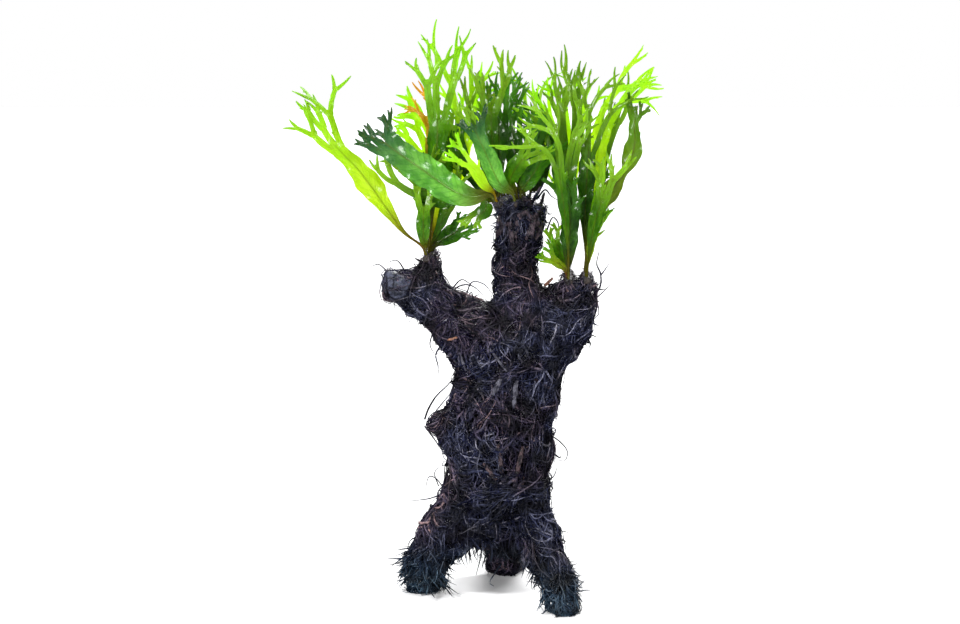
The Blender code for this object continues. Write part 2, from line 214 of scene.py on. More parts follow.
def bumpInto(nodes, links, shader, height, distance):
    made = nodes.new("ShaderNodeBump")
    made.inputs["Distance"].default_value = distance
    links.new(height, made.inputs["Height"])
    links.new(made.outputs["Normal"], shader.inputs["Normal"])
    return made.outputs["Normal"]


def newGroup(name, inputs):
    # every group takes named colours and numbers, and gives Color, Roughness and Height
    group = bpy.data.node_groups.new(name, "ShaderNodeTree")
    for key, default in inputs.items():
        kind = "NodeSocketColor" if isinstance(default, tuple) else "NodeSocketFloat"
        socket = group.interface.new_socket(name=key, in_out="INPUT", socket_type=kind)
        plug(group.links, socket, default)
    for key, kind in (("Color", "Color"), ("Roughness", "Float"), ("Height", "Float")):
        group.interface.new_socket(name=key, in_out="OUTPUT", socket_type="NodeSocket" + kind)
    nodes = group.nodes
    return group, nodes, group.links, nodes.new("NodeGroupInput"), nodes.new("NodeGroupOutput")


def buildWetDirtGroup():
    # damp dark patches and fine grain, shared by wood, roots and stems
    group, nodes, links, entry, leave = newGroup("wetDirt", {
        "Dry": (0.05, 0.04, 0.04), "Wet": (0.01, 0.01, 0.012), "Patch Scale": 90.0,
        "Grain Scale": 1400.0})
    patch = noiseAt(nodes, links, entry.outputs["Patch Scale"], roughness=0.5)
    grain = noiseAt(nodes, links, entry.outputs["Grain Scale"], 4, roughness=0.5)
    wet = rangeOf(nodes, links, patch, 0.38, 0.62)
    grained = rangeOf(nodes, links, grain, 0.35, 0.65, 0.55, 1.25)
    colour = mix(nodes, links, wet, entry.outputs["Dry"], entry.outputs["Wet"])
    colour = mix(nodes, links, 1.0, colour, grained, "MULTIPLY")
    links.new(colour, leave.inputs["Color"])
    links.new(calc(nodes, links, "MULTIPLY_ADD", wet, -0.25, 0.62), leave.inputs["Roughness"])
    links.new(grain, leave.inputs["Height"])
    return group


wetDirt = buildWetDirtGroup()


def useWetDirt(nodes, links, shader, dry, wet, patch, grain, depth):
    made = nodes.new("ShaderNodeGroup")
    made.node_tree = wetDirt
    for name, value in (("Dry", dry), ("Wet", wet), ("Patch Scale", patch), ("Grain Scale", grain)):
        plug(links, made.inputs[name], value)
    links.new(made.outputs["Color"], shader.inputs["Base Color"])
    links.new(made.outputs["Roughness"], shader.inputs["Roughness"])
    bumpInto(nodes, links, shader, made.outputs["Height"], depth)


def matMaterial():
    made, nodes, links, shader = newMaterial("rootMatCore", 0.7, 0.15)
    useWetDirt(nodes, links, shader, (0.003, 0.003, 0.008), (0.0008, 0.0008, 0.0025), 160, 1600, 0.0006)
    return made


# (tone, colour) of the dry roots, of the redder ones, and of those near the feet
rootTones = {
    "cold": [(0.0, (0.0010, 0.0016, 0.008)), (0.35, (0.0052, 0.0066, 0.023)),
             (0.62, (0.027, 0.031, 0.062)),
             (0.84, (0.085, 0.088, 0.130)), (0.98, (0.18, 0.175, 0.22))],
    "warm": [(0.0, (0.0017, 0.0015, 0.006)), (0.35, (0.0085, 0.0068, 0.019)),
             (0.62, (0.039, 0.031, 0.052)),
             (0.84, (0.098, 0.073, 0.098)), (0.98, (0.18, 0.115, 0.115))],
    "teal": [(0.0, (0.0015, 0.005, 0.012)), (0.5, (0.009, 0.024, 0.042)), (0.9, (0.065, 0.115, 0.155))],
}
# painted shade: fibres near this place, in the pit at the top of the left leg, are darkened toward this
# colour
pitShade = {"place": (-0.011, -0.010, 0.037), "radii": (0.005, 0.015), "colour": (0.0035, 0.0022, 0.0055)}


def fibreMaterial():
    # every root has its own tone, from blue-black to grey-violet, and those near the feet turn teal
    made, nodes, links, shader = newMaterial("rootFibre", 0.4, 0.25)
    tone = attributeOf(nodes, "tone").outputs["Fac"]
    cold, warm, teal = (ramp(nodes, links, tone, rootTones[key]) for key in ("cold", "warm", "teal"))
    warmth = rangeOf(nodes, links, noiseAt(nodes, links, 34), 0.44, 0.58)
    own = mix(nodes, links, warmth, cold, warm)
    _, depth, height = splitVector(nodes, links, objectPlace(nodes))
    low = rangeOf(nodes, links, height, 0.006, 0.036, 1.0, 0.0)
    front = rangeOf(nodes, links, depth, 0.004, 0.018, 1.0, 0.0)
    low = calc(nodes, links, "MULTIPLY", low, front)
    tinted = mix(nodes, links, calc(nodes, links, "MULTIPLY", low, 0.85), own, teal)
    # painted shade: broad random patches darken the fibres as if they lay in hollows, and lift others a
    # little
    paintedHollowShade = rangeOf(nodes, links, noiseAt(nodes, links, 75), 0.36, 0.60, 0.30, 1.25)
    tinted = mix(nodes, links, 1.0, tinted, paintedHollowShade, "MULTIPLY")
    # painted shade in the pit at the top of the left leg
    apart = nodes.new("ShaderNodeVectorMath")
    apart.operation = "DISTANCE"
    links.new(objectPlace(nodes), apart.inputs[0])
    apart.inputs[1].default_value = pitShade["place"]
    paintedPitShade = rangeOf(nodes, links, apart.outputs["Value"], *pitShade["radii"], 1.0, 0.0)
    tinted = mix(nodes, links, calc(nodes, links, "MULTIPLY", paintedPitShade, 0.85), tinted, pitShade["colour"])
    grain = rangeOf(nodes, links, noiseAt(nodes, links, 900), 0.3, 0.7, 0.5, 1.6)
    links.new(mix(nodes, links, 1.0, tinted, grain, "MULTIPLY"), shader.inputs["Base Color"])
    wet = rangeOf(nodes, links, noiseAt(nodes, links, 130), 0.4, 0.62, 0.5, 0.24)
    links.new(wet, shader.inputs["Roughness"])
    bumpInto(nodes, links, shader, noiseAt(nodes, links, 2600), 0.00012)
    return made


def chipMaterial(name, dry, wet):
    made, nodes, links, shader = newMaterial(name, 0.6)
    useWetDirt(nodes, links, shader, dry, wet, 420, 2200, 0.0004)
    return made


leafColours = ("Stalk", "Blade", "Deep", "Tip")
leafShade = (0.6, 0.7)  # how much brighter a leaf's own shade makes it, and the least brightness
leafGlow = (1.35, 1.2, 0.5)  # tint of the light that comes through


def buildLeafGroup():
    # blade colour with mottle and painted shade streaks, veins and crinkle, read from leafCoord: (across,
    # along, own shade)
    green = (0.1, 0.3, 0.02)
    group, nodes, links, entry, leave = newGroup("leafPattern", {
        "Stalk": green, "Blade": green, "Deep": green, "Tip": green, "MottleAndShade": 0.6})
    across, along, shade = splitVector(nodes, links, attributeOf(nodes, "leafCoord").outputs["Vector"])
    side = calc(nodes, links, "ABSOLUTE", across)
    # painted shade: dark streaks that run the length of the leaf, standing in for the shading along the
    # blade
    stretched = nodes.new("ShaderNodeCombineXYZ")
    links.new(calc(nodes, links, "MULTIPLY", across, 1.6), stretched.inputs[0])
    links.new(calc(nodes, links, "MULTIPLY", along, 7.0), stretched.inputs[1])
    links.new(calc(nodes, links, "MULTIPLY", shade, 40.0), stretched.inputs[2])
    paintedShadeStreak = rangeOf(nodes, links, noiseAt(nodes, links, 1.3, 4.0, stretched.outputs[0]), 0.36, 0.64)
    # side veins leave the midrib at a slant
    slant = calc(nodes, links, "MULTIPLY_ADD", side, -0.10, along)
    slant = calc(nodes, links, "MULTIPLY_ADD", noiseAt(nodes, links, 150), 0.02, slant)
    wave = calc(nodes, links, "SINE", calc(nodes, links, "MULTIPLY", slant, 130.0))
    veins = rangeOf(nodes, links, wave, 0.6, 1.0)
    net = nodes.new("ShaderNodeTexVoronoi")
    net.feature = "DISTANCE_TO_EDGE"
    net.inputs["Scale"].default_value = 600
    links.new(objectPlace(nodes), net.inputs["Vector"])
    netLines = rangeOf(nodes, links, net.outputs["Distance"], 0.0, 0.12, 1.0, 0.0)
    midrib = rangeOf(nodes, links, side, 0.02, 0.12, 1.0, 0.0)
    blotch = rangeOf(nodes, links, noiseAt(nodes, links, 110, 3.0), 0.40, 0.66)
    # the blade turns toward Deep in its mottle and along the painted shade streaks
    mottleAndShadeShare = calc(nodes, links, "MULTIPLY", calc(nodes, links, "MAXIMUM", blotch, paintedShadeStreak),
                     entry.outputs["MottleAndShade"])
    deep = entry.outputs["Deep"]
    colour = mix(nodes, links, mottleAndShadeShare, entry.outputs["Blade"], deep)
    colour = mix(nodes, links, calc(nodes, links, "MULTIPLY", netLines, 0.10), colour, deep)
    colour = mix(nodes, links, calc(nodes, links, "MULTIPLY", veins, 0.35), colour, deep)
    toTip = rangeOf(nodes, links, along, 0.45, 0.9)
    colour = mix(nodes, links, calc(nodes, links, "MULTIPLY", toTip, 0.85), colour, entry.outputs["Tip"])
    toStalk = rangeOf(nodes, links, along, 0.08, 0.32, 1.0, 0.0)
    ribbed = calc(nodes, links, "MAXIMUM", toStalk, calc(nodes, links, "MULTIPLY", midrib, 0.5))
    colour = mix(nodes, links, ribbed, colour, entry.outputs["Stalk"])
    # a few brown spots
    spots = rangeOf(nodes, links, noiseAt(nodes, links, 210), 0.70, 0.76)
    colour = mix(nodes, links, calc(nodes, links, "MULTIPLY", spots, 0.28), colour, (0.05, 0.022, 0.006))
    own = calc(nodes, links, "MULTIPLY_ADD", shade, *leafShade)
    colour = mix(nodes, links, 1.0, colour, own, "MULTIPLY")
    links.new(colour, leave.inputs["Color"])
    wet = rangeOf(nodes, links, noiseAt(nodes, links, 90), 0.35, 0.65, 0.10, 0.34)
    links.new(wet, leave.inputs["Roughness"])
    pleats = noiseAt(nodes, links, 2.2, 3.0, stretched.outputs[0])
    crinkle = calc(nodes, links, "MULTIPLY_ADD", noiseAt(nodes, links, 170), 2.0,
                   calc(nodes, links, "MULTIPLY", netLines, 0.2))
    crinkle = calc(nodes, links, "MULTIPLY_ADD", pleats, 3.5, crinkle)
    height = calc(nodes, links, "MULTIPLY_ADD", veins, 0.5, crinkle)
    links.new(height, leave.inputs["Height"])
    return group


leafPattern = buildLeafGroup()

# for each finish: its colours, how blotchy the blade is and how strongly painted shade streaks it, and
# the share of light that comes through
leafFinishes = {
    "leaf_pale": {"Stalk": (0.24, 0.17, 0.004), "Blade": (0.60, 0.79, 0.042),
                  "Deep": (0.33, 0.60, 0.010), "Tip": (0.40, 0.76, 0.045),
                  "MottleAndShade": 0.8, "thin": 0.70},
    "leaf_mid": {"Stalk": (0.10, 0.095, 0.005), "Blade": (0.098, 0.29, 0.002),
                 "Deep": (0.028, 0.13, 0.001), "Tip": (0.40, 0.74, 0.030),
                 "MottleAndShade": 0.85, "thin": 0.52},
    "leaf_green": {"Stalk": (0.10, 0.095, 0.005), "Blade": (0.060, 0.205, 0.002),
                   "Deep": (0.016, 0.085, 0.001), "Tip": (0.30, 0.62, 0.020),
                   "MottleAndShade": 0.85, "thin": 0.45},
    "leaf_dark": {"Stalk": (0.060, 0.070, 0.006), "Blade": (0.045, 0.17, 0.003),
                  "Deep": (0.008, 0.045, 0.002), "Tip": (0.07, 0.28, 0.008),
                  "MottleAndShade": 0.9, "thin": 0.34},
    # leaf_silver: the blade colours are the leaf's blue-green with painted silvery sheen mixed in, and
    # the dark crest colour (Tip) is painted shade
    "leaf_silver": {"Stalk": (0.07, 0.085, 0.006), "Blade": (0.15, 0.42, 0.045),
                    "Deep": (0.035, 0.18, 0.012), "Tip": (0.010, 0.050, 0.022),
                    "MottleAndShade": 0.8, "thin": 0.3},
    "leaf_olive": {"Stalk": (0.16, 0.070, 0.012), "Blade": (0.27, 0.40, 0.006),
                   "Deep": (0.13, 0.22, 0.004), "Tip": (0.18, 0.45, 0.02),
                   "MottleAndShade": 0.8, "thin": 0.55},
    "leaf_decayed": {"Stalk": (0.10, 0.09, 0.006), "Blade": (0.30, 0.33, 0.004),
                     "Deep": (0.16, 0.14, 0.004), "Tip": (1.0, 0.62, 0.016),
                     "MottleAndShade": 0.6, "thin": 0.45},
}


def leafMaterial(name, plan):
    made, nodes, links, shader = newMaterial(name, 0.3, 0.25)
    shader.inputs["Coat Weight"].default_value = 0.8
    shader.inputs["Coat Roughness"].default_value = 0.15
    pattern = nodes.new("ShaderNodeGroup")
    pattern.node_tree = leafPattern
    for key in (*leafColours, "MottleAndShade"):
        plug(links, pattern.inputs[key], plan[key])
    links.new(pattern.outputs["Color"], shader.inputs["Base Color"])
    links.new(pattern.outputs["Roughness"], shader.inputs["Roughness"])
    normal = bumpInto(nodes, links, shader, pattern.outputs["Height"], 0.00022)
    # light that comes through the leaf, in its own yellower colours
    _, along, shade = splitVector(nodes, links, attributeOf(nodes, "leafCoord").outputs["Vector"])
    stalk, blade, deep, tip = (Vector([value * tint for value, tint in zip(plan[key], leafGlow)])
                               for key in leafColours)
    blade = blade.lerp(deep, 0.35)
    glow = ramp(nodes, links, along, [(0.08, stalk), (0.32, blade), (0.45, blade),
                                      (0.9, blade.lerp(tip, 0.85))])
    own = calc(nodes, links, "MULTIPLY_ADD", shade, *leafShade)
    through = nodes.new("ShaderNodeBsdfTranslucent")
    links.new(mix(nodes, links, 1.0, glow, own, "MULTIPLY"), through.inputs["Color"])
    links.new(normal, through.inputs["Normal"])
    blend = nodes.new("ShaderNodeMixShader")
    blend.inputs["Fac"].default_value = plan["thin"]
    links.new(shader.outputs["BSDF"], blend.inputs[1])
    links.new(through.outputs["BSDF"], blend.inputs[2])
    links.new(blend.outputs["Shader"], nodes["Material Output"].inputs["Surface"])
    return made


matLook = matMaterial()
fibreLook = fibreMaterial()
leafLooks = {name: leafMaterial(name + "Look", plan) for name, plan in leafFinishes.items()}
paleWood = chipMaterial("paleWood", (0.100, 0.098, 0.130), (0.030, 0.029, 0.045))
redWood = chipMaterial("redWood", (0.078, 0.046, 0.052), (0.010, 0.007, 0.011))
purpleWood = chipMaterial("purpleWood", (0.075, 0.050, 0.064), (0.008, 0.006, 0.012))
greyWood = chipMaterial("greyWood", (0.055, 0.062, 0.105), (0.012, 0.014, 0.026))
orangeBit = chipMaterial("orangeBit", (0.26, 0.12, 0.075), (0.09, 0.04, 0.03))
rhizomeLook = chipMaterial("rhizomeSkin", (0.040, 0.028, 0.022), (0.010, 0.008, 0.009))
print("materials made")


# the driftwood under the root mat
core = {"grain": 0.9 * mm, "sink": 2.8 * mm, "lumpSize": 4 * mm, "lumps": 4.2 * mm, "fluffSize": 1.3 * mm,
        "fluff": 1.6 * mm, "floor": 0.1 * mm}
feet = {"nodes": ("leg_left", "leg_right"), "top": 13 * mm, "shrink": 0.5, "sole": 5 * mm}


def fuseWood(nodes, name):
    fused = joinAll([copyNode(node, name + node) for node in nodes], name)
    applyModifier(fused, "REMESH", mode="VOXEL", voxel_size=core["grain"])
    applyModifier(fused, "SMOOTH", iterations=6)
    return fused


# the roots creep over this shell, which is taken away again once they have grown
shell = fuseWood(woodNodes, "shell")
skin = BVHTree.FromObject(shell, bpy.context.evaluated_depsgraph_get())
# the side tuft is only a net of roots, with no wood in it
coarse = fuseWood(woodNodes[:-1], "driftwood_core")
applyModifier(coarse, "DISPLACE", strength=-2 * core["sink"], mid_level=0.5)
roughen(coarse, "coreLumps", core["lumpSize"], core["lumps"], 0.6, 2)
roughen(coarse, "coreFluff", core["fluffSize"], core["fluff"], 0.6)
# the feet narrow to a stump, and bristles carry on to the floor
for node in feet["nodes"]:
    low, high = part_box(node)
    stump = [vert for vert in coarse.data.vertices
             if vert.co.z < feet["top"] and low[0] < vert.co.x < high[0] and low[1] < vert.co.y < high[1]]
    centre = sum((vert.co for vert in stump), Vector()) / len(stump)
    for vert in stump:
        share = feet["shrink"] * (1 - vert.co.z / feet["top"])
        vert.co.x += (centre.x - vert.co.x) * share
        vert.co.y += (centre.y - vert.co.y) * share
        vert.co.z = feet["sole"] + vert.co.z * (1 - feet["sole"] / feet["top"])
for vert in coarse.data.vertices:
    vert.co.z = max(vert.co.z, core["floor"])
coarse.data.shade_smooth()
finishPiece(coarse, matLook, woodNodes[:-1])
print("driftwood core", len(coarse.data.polygons))


# the root mat
def makeTubes(paths, radii, tones, sides=3):
    # one mesh of thin tapering tubes; paths is (tubes, points, 3), radii is (tubes, points)
    count, points, _ = paths.shape
    along = np.gradient(paths, axis=1)
    along /= np.linalg.norm(along, axis=2, keepdims=True) + 1e-12
    helper = np.where(np.abs(along[:, :1, 2:3]) > 0.9, np.array([1.0, 0, 0]), np.array([0, 0, 1.0]))
    helper = np.broadcast_to(helper, along.shape)
    first = np.cross(along, helper)
    first /= np.linalg.norm(first, axis=2, keepdims=True) + 1e-12
    second = np.cross(along, first)
    angles = np.arange(sides) * 2 * math.pi / sides
    ring = (np.cos(angles)[None, None, :, None] * first[:, :, None, :]
            + np.sin(angles)[None, None, :, None] * second[:, :, None, :])
    verts = paths[:, :, None, :] + ring * radii[:, :, None, None]
    index = np.arange(count * points * sides).reshape(count, points, sides)
    here, there = index[:, :-1], index[:, 1:]
    walls = np.stack([here, np.roll(here, -1, 2), np.roll(there, -1, 2), there], axis=-1).reshape(-1, 4)
    ends = [index[:, 0, ::-1].reshape(-1, sides), index[:, -1].reshape(-1, sides)]
    faces = walls.tolist() + ends[0].tolist() + ends[1].tolist()
    mesh = bpy.data.meshes.new("tubes")
    mesh.from_pydata(verts.reshape(-1, 3).tolist(), [], faces)
    if tones is not None:
        attribute = mesh.attributes.new("tone", "FLOAT", "POINT")
        attribute.data.foreach_set("value", np.repeat(tones, points * sides).astype(np.float32))
    mesh.shade_smooth()
    return mesh


def newPiece(name, mesh):
    made = bpy.data.objects.new(name, mesh)
    mesh.name = name
    bpy.context.scene.collection.objects.link(made)
    return made


def addTubes(name, paths, radii, taper, tones, sides=3, nodes=()):
    # one piece of the mat; taper is (places along a tube, shares of its radius there)
    paths = np.array(paths)
    shares = np.interp(np.linspace(0, 1, paths.shape[1]), *taper)
    made = newPiece(name, makeTubes(paths, np.array(radii)[:, None] * shares, tones, sides))
    finishPiece(made, fibreLook, nodes)


def surfaceSeeds(obj, count, rng, low=None, high=None):
    # points spread evenly over a surface, with their normals
    mesh = obj.data
    mesh.calc_loop_triangles()
    triangles = np.empty(len(mesh.loop_triangles) * 3, np.int32)
    mesh.loop_triangles.foreach_get("vertices", triangles)
    places = np.empty(len(mesh.vertices) * 3)
    mesh.vertices.foreach_get("co", places)
    corners = places.reshape(-1, 3)[triangles.reshape(-1, 3)]
    middle = corners.mean(axis=1)
    normals = np.cross(corners[:, 1] - corners[:, 0], corners[:, 2] - corners[:, 0])
    area = np.linalg.norm(normals, axis=1)
    inside = np.ones(len(area), bool)
    if low is not None:
        inside = np.all((middle >= np.array(low)) & (middle <= np.array(high)), axis=1)
    weight = area * inside
    picked = rng.choice(len(area), size=count, p=weight / weight.sum())
    blend = rng.dirichlet((1, 1, 1), size=count)
    spots = (corners[picked] * blend[:, :, None]).sum(axis=1)
    return spots, normals[picked] / (area[picked, None] + 1e-15)


def stretchSeeds(obj, node, count, lowShare, highShare, rng, reach=2 * mm):
    # seeds on one stretch of a node; both shares are of the node's box
    low, high = (np.array(corner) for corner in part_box(node))
    size = high - low
    return surfaceSeeds(obj, count, rng, low + size * lowShare - reach, low + size * highShare + reach)


def traceRoot(start, heading, steps, stride, lift, wander, pull, pullStrength, rng, liftEnd=0.0,
              curl=0.0):
    # a root that creeps over the wood, rises to lift in the middle, and may leave the surface at its end
    place, direction = Vector(start), Vector(heading)
    path = []
    turn = rng.uniform(-wander, wander)
    free = Vector((0, 0, 0))
    for step in range(steps):
        share = step / (steps - 1)
        found, normal = skin.find_nearest(place)[:2]
        direction -= normal * direction.dot(normal)
        direction += pull * pullStrength
        direction.normalize()
        turn = turn * 0.7 + rng.uniform(-wander, wander)
        direction.rotate(Matrix.Rotation(turn, 3, normal))
        rise = lift * math.sin(math.pi * min(1, share * 1.1)) + liftEnd * max(0, share - 0.45) ** 2
        if curl:
            stray = Vector((rng.uniform(-1, 1), rng.uniform(-1, 1), rng.uniform(-1, 0.6)))
            free = free + stray * curl * share * stride
        path.append(found + normal * rise + free)
        place = found + direction * stride
    return path


# name: (wood that it covers, roots, low and high corner of the stretch as shares of the node's box)
rootAreas = {
    "trunk_front": ("trunk", 2700, (0, 0, 0), (1, 0.55, 1)),
    "trunk_back": ("trunk", 1900, (0, 0.45, 0), (1, 1, 1)),
    "arm_left": ("arm_left", 900, (0, 0, 0), (1, 1, 1)),
    "arm_left_stub": ("arm_left_stub", 280, (0, 0, 0), (1, 1, 1)),
    "branch_middle": ("branch_middle", 1200, (0, 0, 0), (1, 1, 1)),
    "branch_right": ("branch_right", 900, (0, 0, 0), (1, 1, 1)),
    "leg_left": ("leg_left", 800, (0, 0, 0.18), (1, 1, 1)),
    "leg_right": ("leg_right", 700, (0, 0, 0.18), (1, 1, 1)),
    "leg_rear": ("leg_rear", 600, (0, 0, 0), (1, 1, 1)),
    "root_tuft": ("root_tuft", 150, (0, 0, 0), (1, 1, 1)),
}
# the way that the roots run on each limb
limbRuns = {
    "trunk": (0, 0, -1), "arm_left": (0.85, 0.05, -0.5), "arm_left_stub": (0, 0, -1),
    "branch_middle": (0, 0, -1),
    "branch_right": (-0.5, 0, -0.85), "leg_left": (-0.5, 0.1, -0.85), "leg_right": (0.4, -0.5, -0.75),
    "leg_rear": (0, 0.6, -0.8), "root_tuft": (-0.8, -0.2, -0.4),
}
rootHabit = {
    "points": 10,
    "stride": (1.7 * mm, 3.4 * mm),
    "radius": (0.17 * mm, 0.42 * mm),
    "thickShare": 0.12,
    "thickStride": 0.62,
    "thickRadius": (0.45 * mm, 0.80 * mm),
    "lift": (-2.2 * mm, 0.6 * mm),
    "clumpSize": 7 * mm,
    "clumpLift": 4.2 * mm,
    "acrossShare": 0.22,
    "spread": 0.35,  # how far the first direction strays
    "wander": (0.12, 0.5),
    "pull": 0.12,
    "looseShare": 0.12,
    "looseEnd": (2, 10),  # in mm
    "looseCurl": 0.35,
    "taper": ([0, 0.15, 0.6, 1], [0.55, 1, 0.9, 0.25]),
    "floor": 0.15 * mm,
}


def growRoots(area, seed):
    node, count, lowShare, highShare = rootAreas[area]
    rng = np.random.default_rng(seed)
    starts, normals = stretchSeeds(shell, node, count, lowShare, highShare, rng)
    run = Vector(limbRuns[node]).normalized()
    paths, radii = [], []
    for start, normal in zip(starts, normals):
        crosswise = rng.random() < rootHabit["acrossShare"]
        heading = run.copy() if not crosswise else run.cross(Vector(normal)) * rng.choice((-1, 1))
        heading += Vector(rng.normal(0, rootHabit["spread"], 3))
        thick = rng.random() < rootHabit["thickShare"]
        stride = rng.uniform(*rootHabit["stride"]) * (rootHabit["thickStride"] if thick else 1)
        loose = rng.random() < rootHabit["looseShare"] and not thick
        clump = noise.noise(Vector(start) / rootHabit["clumpSize"]) * rootHabit["clumpLift"]
        paths.append(traceRoot(
            start, heading, rootHabit["points"], stride, rng.uniform(*rootHabit["lift"]) + clump,
            rng.uniform(*rootHabit["wander"]), run, 0.0 if crosswise else rootHabit["pull"], rng,
            liftEnd=rng.uniform(*rootHabit["looseEnd"]) * mm if loose else 0.0,
            curl=rootHabit["looseCurl"] if loose else 0.0))
        radii.append(rng.uniform(*rootHabit["thickRadius" if thick else "radius"]))
    paths = np.array(paths)
    radii = np.array(radii)
    paths[:, :, 2] = np.maximum(paths[:, :, 2], rootHabit["floor"] + radii[:, None])
    tones = np.clip(rng.beta(1.3, 1.7, count) + (radii > 0.44 * mm) * 0.12, 0, 1)  # thick roots are paler
    addTubes("roots_" + area, paths, radii, rootHabit["taper"], tones,
             nodes=["root_tuft"] if area == "root_tuft" else [])


for seed, area in enumerate(rootAreas):
    growRoots(area, 40 + seed)
print("root mat grown")


# loose hairs, spikes and roots that stand off the mat
def freeHair(start, heading, steps, stride, curl, droop, rng):
    place, direction = Vector(start), Vector(heading).normalized()
    bend = Vector(rng.normal(0, 1, 3)) * curl
    path = [place.copy()]
    for _ in range(steps - 1):
        bend = bend * 0.8 + Vector(rng.normal(0, 1, 3)) * curl * 0.6
        direction = (direction + bend + Vector((0, 0, -droop))).normalized()
        place += direction * stride
        path.append(place.copy())
    return path


# name: (node, hairs, low and high corner of the stretch, length, thickness, curl, droop, spread,
# a way of their own, hairs in a tuft)
hairPatches = {
    "trunk_fuzz": ("trunk", 900, (0, 0, 0), (1, 1, 1), (3, 8), (0.12, 0.26), 0.22, 0.10, 0.7,
                   (0, 0, -0.2), 9),
    "arm_end": ("arm_left", 260, (0, 0, 0), (0.35, 1, 1), (3, 7), (0.14, 0.34), 0.45, 0.03, 1.1,
                (0.2, 0, 0), 4),
    "arm_saddle": ("arm_left", 320, (0.3, 0, 0.3), (1, 1, 1), (4, 12), (0.16, 0.34), 0.42, 0.05, 1.0,
                   (0, 0, 0.3), 5),
    "stub_fuzz": ("arm_left_stub", 170, (0, 0, 0), (1, 1, 1), (2, 6), (0.14, 0.28), 0.3, 0.05, 0.9,
                  (0, 0, 0.2), 5),
    "middle_fuzz": ("branch_middle", 420, (0, 0, 0), (1, 1, 1), (2, 5), (0.12, 0.26), 0.25, 0.08, 0.8,
                    (0, 0, 0), 8),
    "middle_rim": ("branch_middle", 300, (0, 0, 0.84), (1, 1, 1), (3, 9), (0.2, 0.48), 0.38, 0.02, 0.9,
                   (0, 0, 0.4), 4),
    "right_top": ("branch_right", 330, (0, 0, 0.35), (1, 1, 1), (3, 9), (0.16, 0.4), 0.32, 0.03, 0.9,
                  (0.1, 0, 0.3), 4),
    "left_spikes": ("leg_left", 400, (0, 0, 0.16), (0.56, 1, 0.46), (7, 13), (0.3, 0.62), 0.12, 0.08, 0.7,
                    (-0.15, -0.2, -0.75), 5),
    "right_spikes": ("leg_right", 300, (0, 0, 0.16), (1, 1, 0.42), (6, 10), (0.3, 0.62), 0.13, 0.08, 0.7,
                     (0.05, -0.2, -0.75), 5),
    "rear_spikes": ("leg_rear", 300, (0, 0, 0.15), (1, 1, 1), (4, 9), (0.2, 0.4), 0.16, 0.15, 0.6,
                    (0, -0.3, -0.9), 5),
    "crotch_spikes": ("trunk", 420, (0, 0, 0), (1, 1, 0.16), (6, 15), (0.22, 0.5), 0.14, 0.22, 0.5,
                      (-0.1, -0.6, -1.1), 4),
    "tuft_fuzz": ("root_tuft", 120, (0, 0, 0), (1, 1, 1), (3, 7), (0.16, 0.34), 0.50, 0.06, 0.9,
                  (-0.1, 0, 0), 3),
    "trunk_stubs": ("trunk", 520, (0, 0, 0), (1, 1, 1), (3, 6.5), (0.32, 0.75), 0.22, 0.12, 1.1,
                    (0, 0, -0.5), 3),
    "arm_stubs": ("arm_left", 170, (0.2, 0, 0), (1, 1, 1), (3, 6), (0.3, 0.65), 0.25, 0.1, 1.1,
                  (0, 0, 0), 3),
    "right_stubs": ("branch_right", 190, (0, 0, 0), (1, 1, 1), (3, 6.5), (0.3, 0.7), 0.25, 0.1, 1.1,
                    (0, 0, 0), 3),
    "middle_stubs": ("branch_middle", 170, (0, 0, 0), (1, 1, 0.9), (2.5, 5), (0.3, 0.65), 0.25, 0.1, 1.0,
                     (0, 0, -0.2), 4),
    "leg_left_stubs": ("leg_left", 120, (0, 0, 0.3), (1, 1, 1), (3, 6), (0.3, 0.65), 0.2, 0.1, 1.0,
                       (-0.2, 0, -0.4), 3),
    "leg_right_stubs": ("leg_right", 120, (0, 0, 0.3), (1, 1, 1), (3, 6), (0.3, 0.65), 0.2, 0.1, 1.0,
                        (0.2, 0, -0.4), 3),
    "rear_knobs": ("leg_rear", 300, (0, 0, 0.45), (1, 0.6, 1), (2.5, 6), (0.35, 0.8), 0.3, 0.1, 1.0,
                   (0, -0.4, -0.3), 3),
}
hairHabit = {
    "points": 7,
    "thick": 0.45,  # thicker hairs start on the shell, the others on the wood under it
    "outward": 0.8,
    "tuftSpread": 0.5,
    "hairSpread": 0.35,
    "scatter": 0.9 * mm,
    "length": (0.6, 1.15),
    "taper": ([0, 0.4, 1], [1, 0.85, 0.15]),
    "floor": 0.55 * mm,
}


def growHairs(patch, seed):
    node, count, lowShare, highShare, lengths, radius, curl, droop, spread, own, tuft = hairPatches[patch]
    rng = np.random.default_rng(seed)
    wood = shell if radius[1] > hairHabit["thick"] else coarse
    starts, normals = stretchSeeds(wood, node, count // tuft + 1, lowShare, highShare, rng)
    paths = []
    for hair in range(count):
        root, normal = starts[hair // tuft], normals[hair // tuft]
        if hair % tuft == 0:
            lean = (Vector(normal) * hairHabit["outward"]
                    + Vector(rng.normal(0, spread * hairHabit["tuftSpread"], 3)) + Vector(own))
            reachOut = rng.uniform(*lengths)
        heading = lean + Vector(rng.normal(0, spread * hairHabit["hairSpread"], 3))
        start = Vector(root) + Vector(rng.normal(0, hairHabit["scatter"], 3)) - Vector(normal) * mm
        stride = reachOut * rng.uniform(*hairHabit["length"]) * mm / (hairHabit["points"] - 1)
        paths.append(freeHair(start, heading, hairHabit["points"], stride, curl, droop, rng))
    paths = np.array(paths)
    paths[:, :, 2] = np.maximum(paths[:, :, 2], hairHabit["floor"])
    addTubes("hairs_" + patch, paths, rng.uniform(*radius, count) * mm, hairHabit["taper"],
             rng.beta(1.3, 2.0, count))


for seed, patch in enumerate(hairPatches):
    growHairs(patch, 140 + seed)

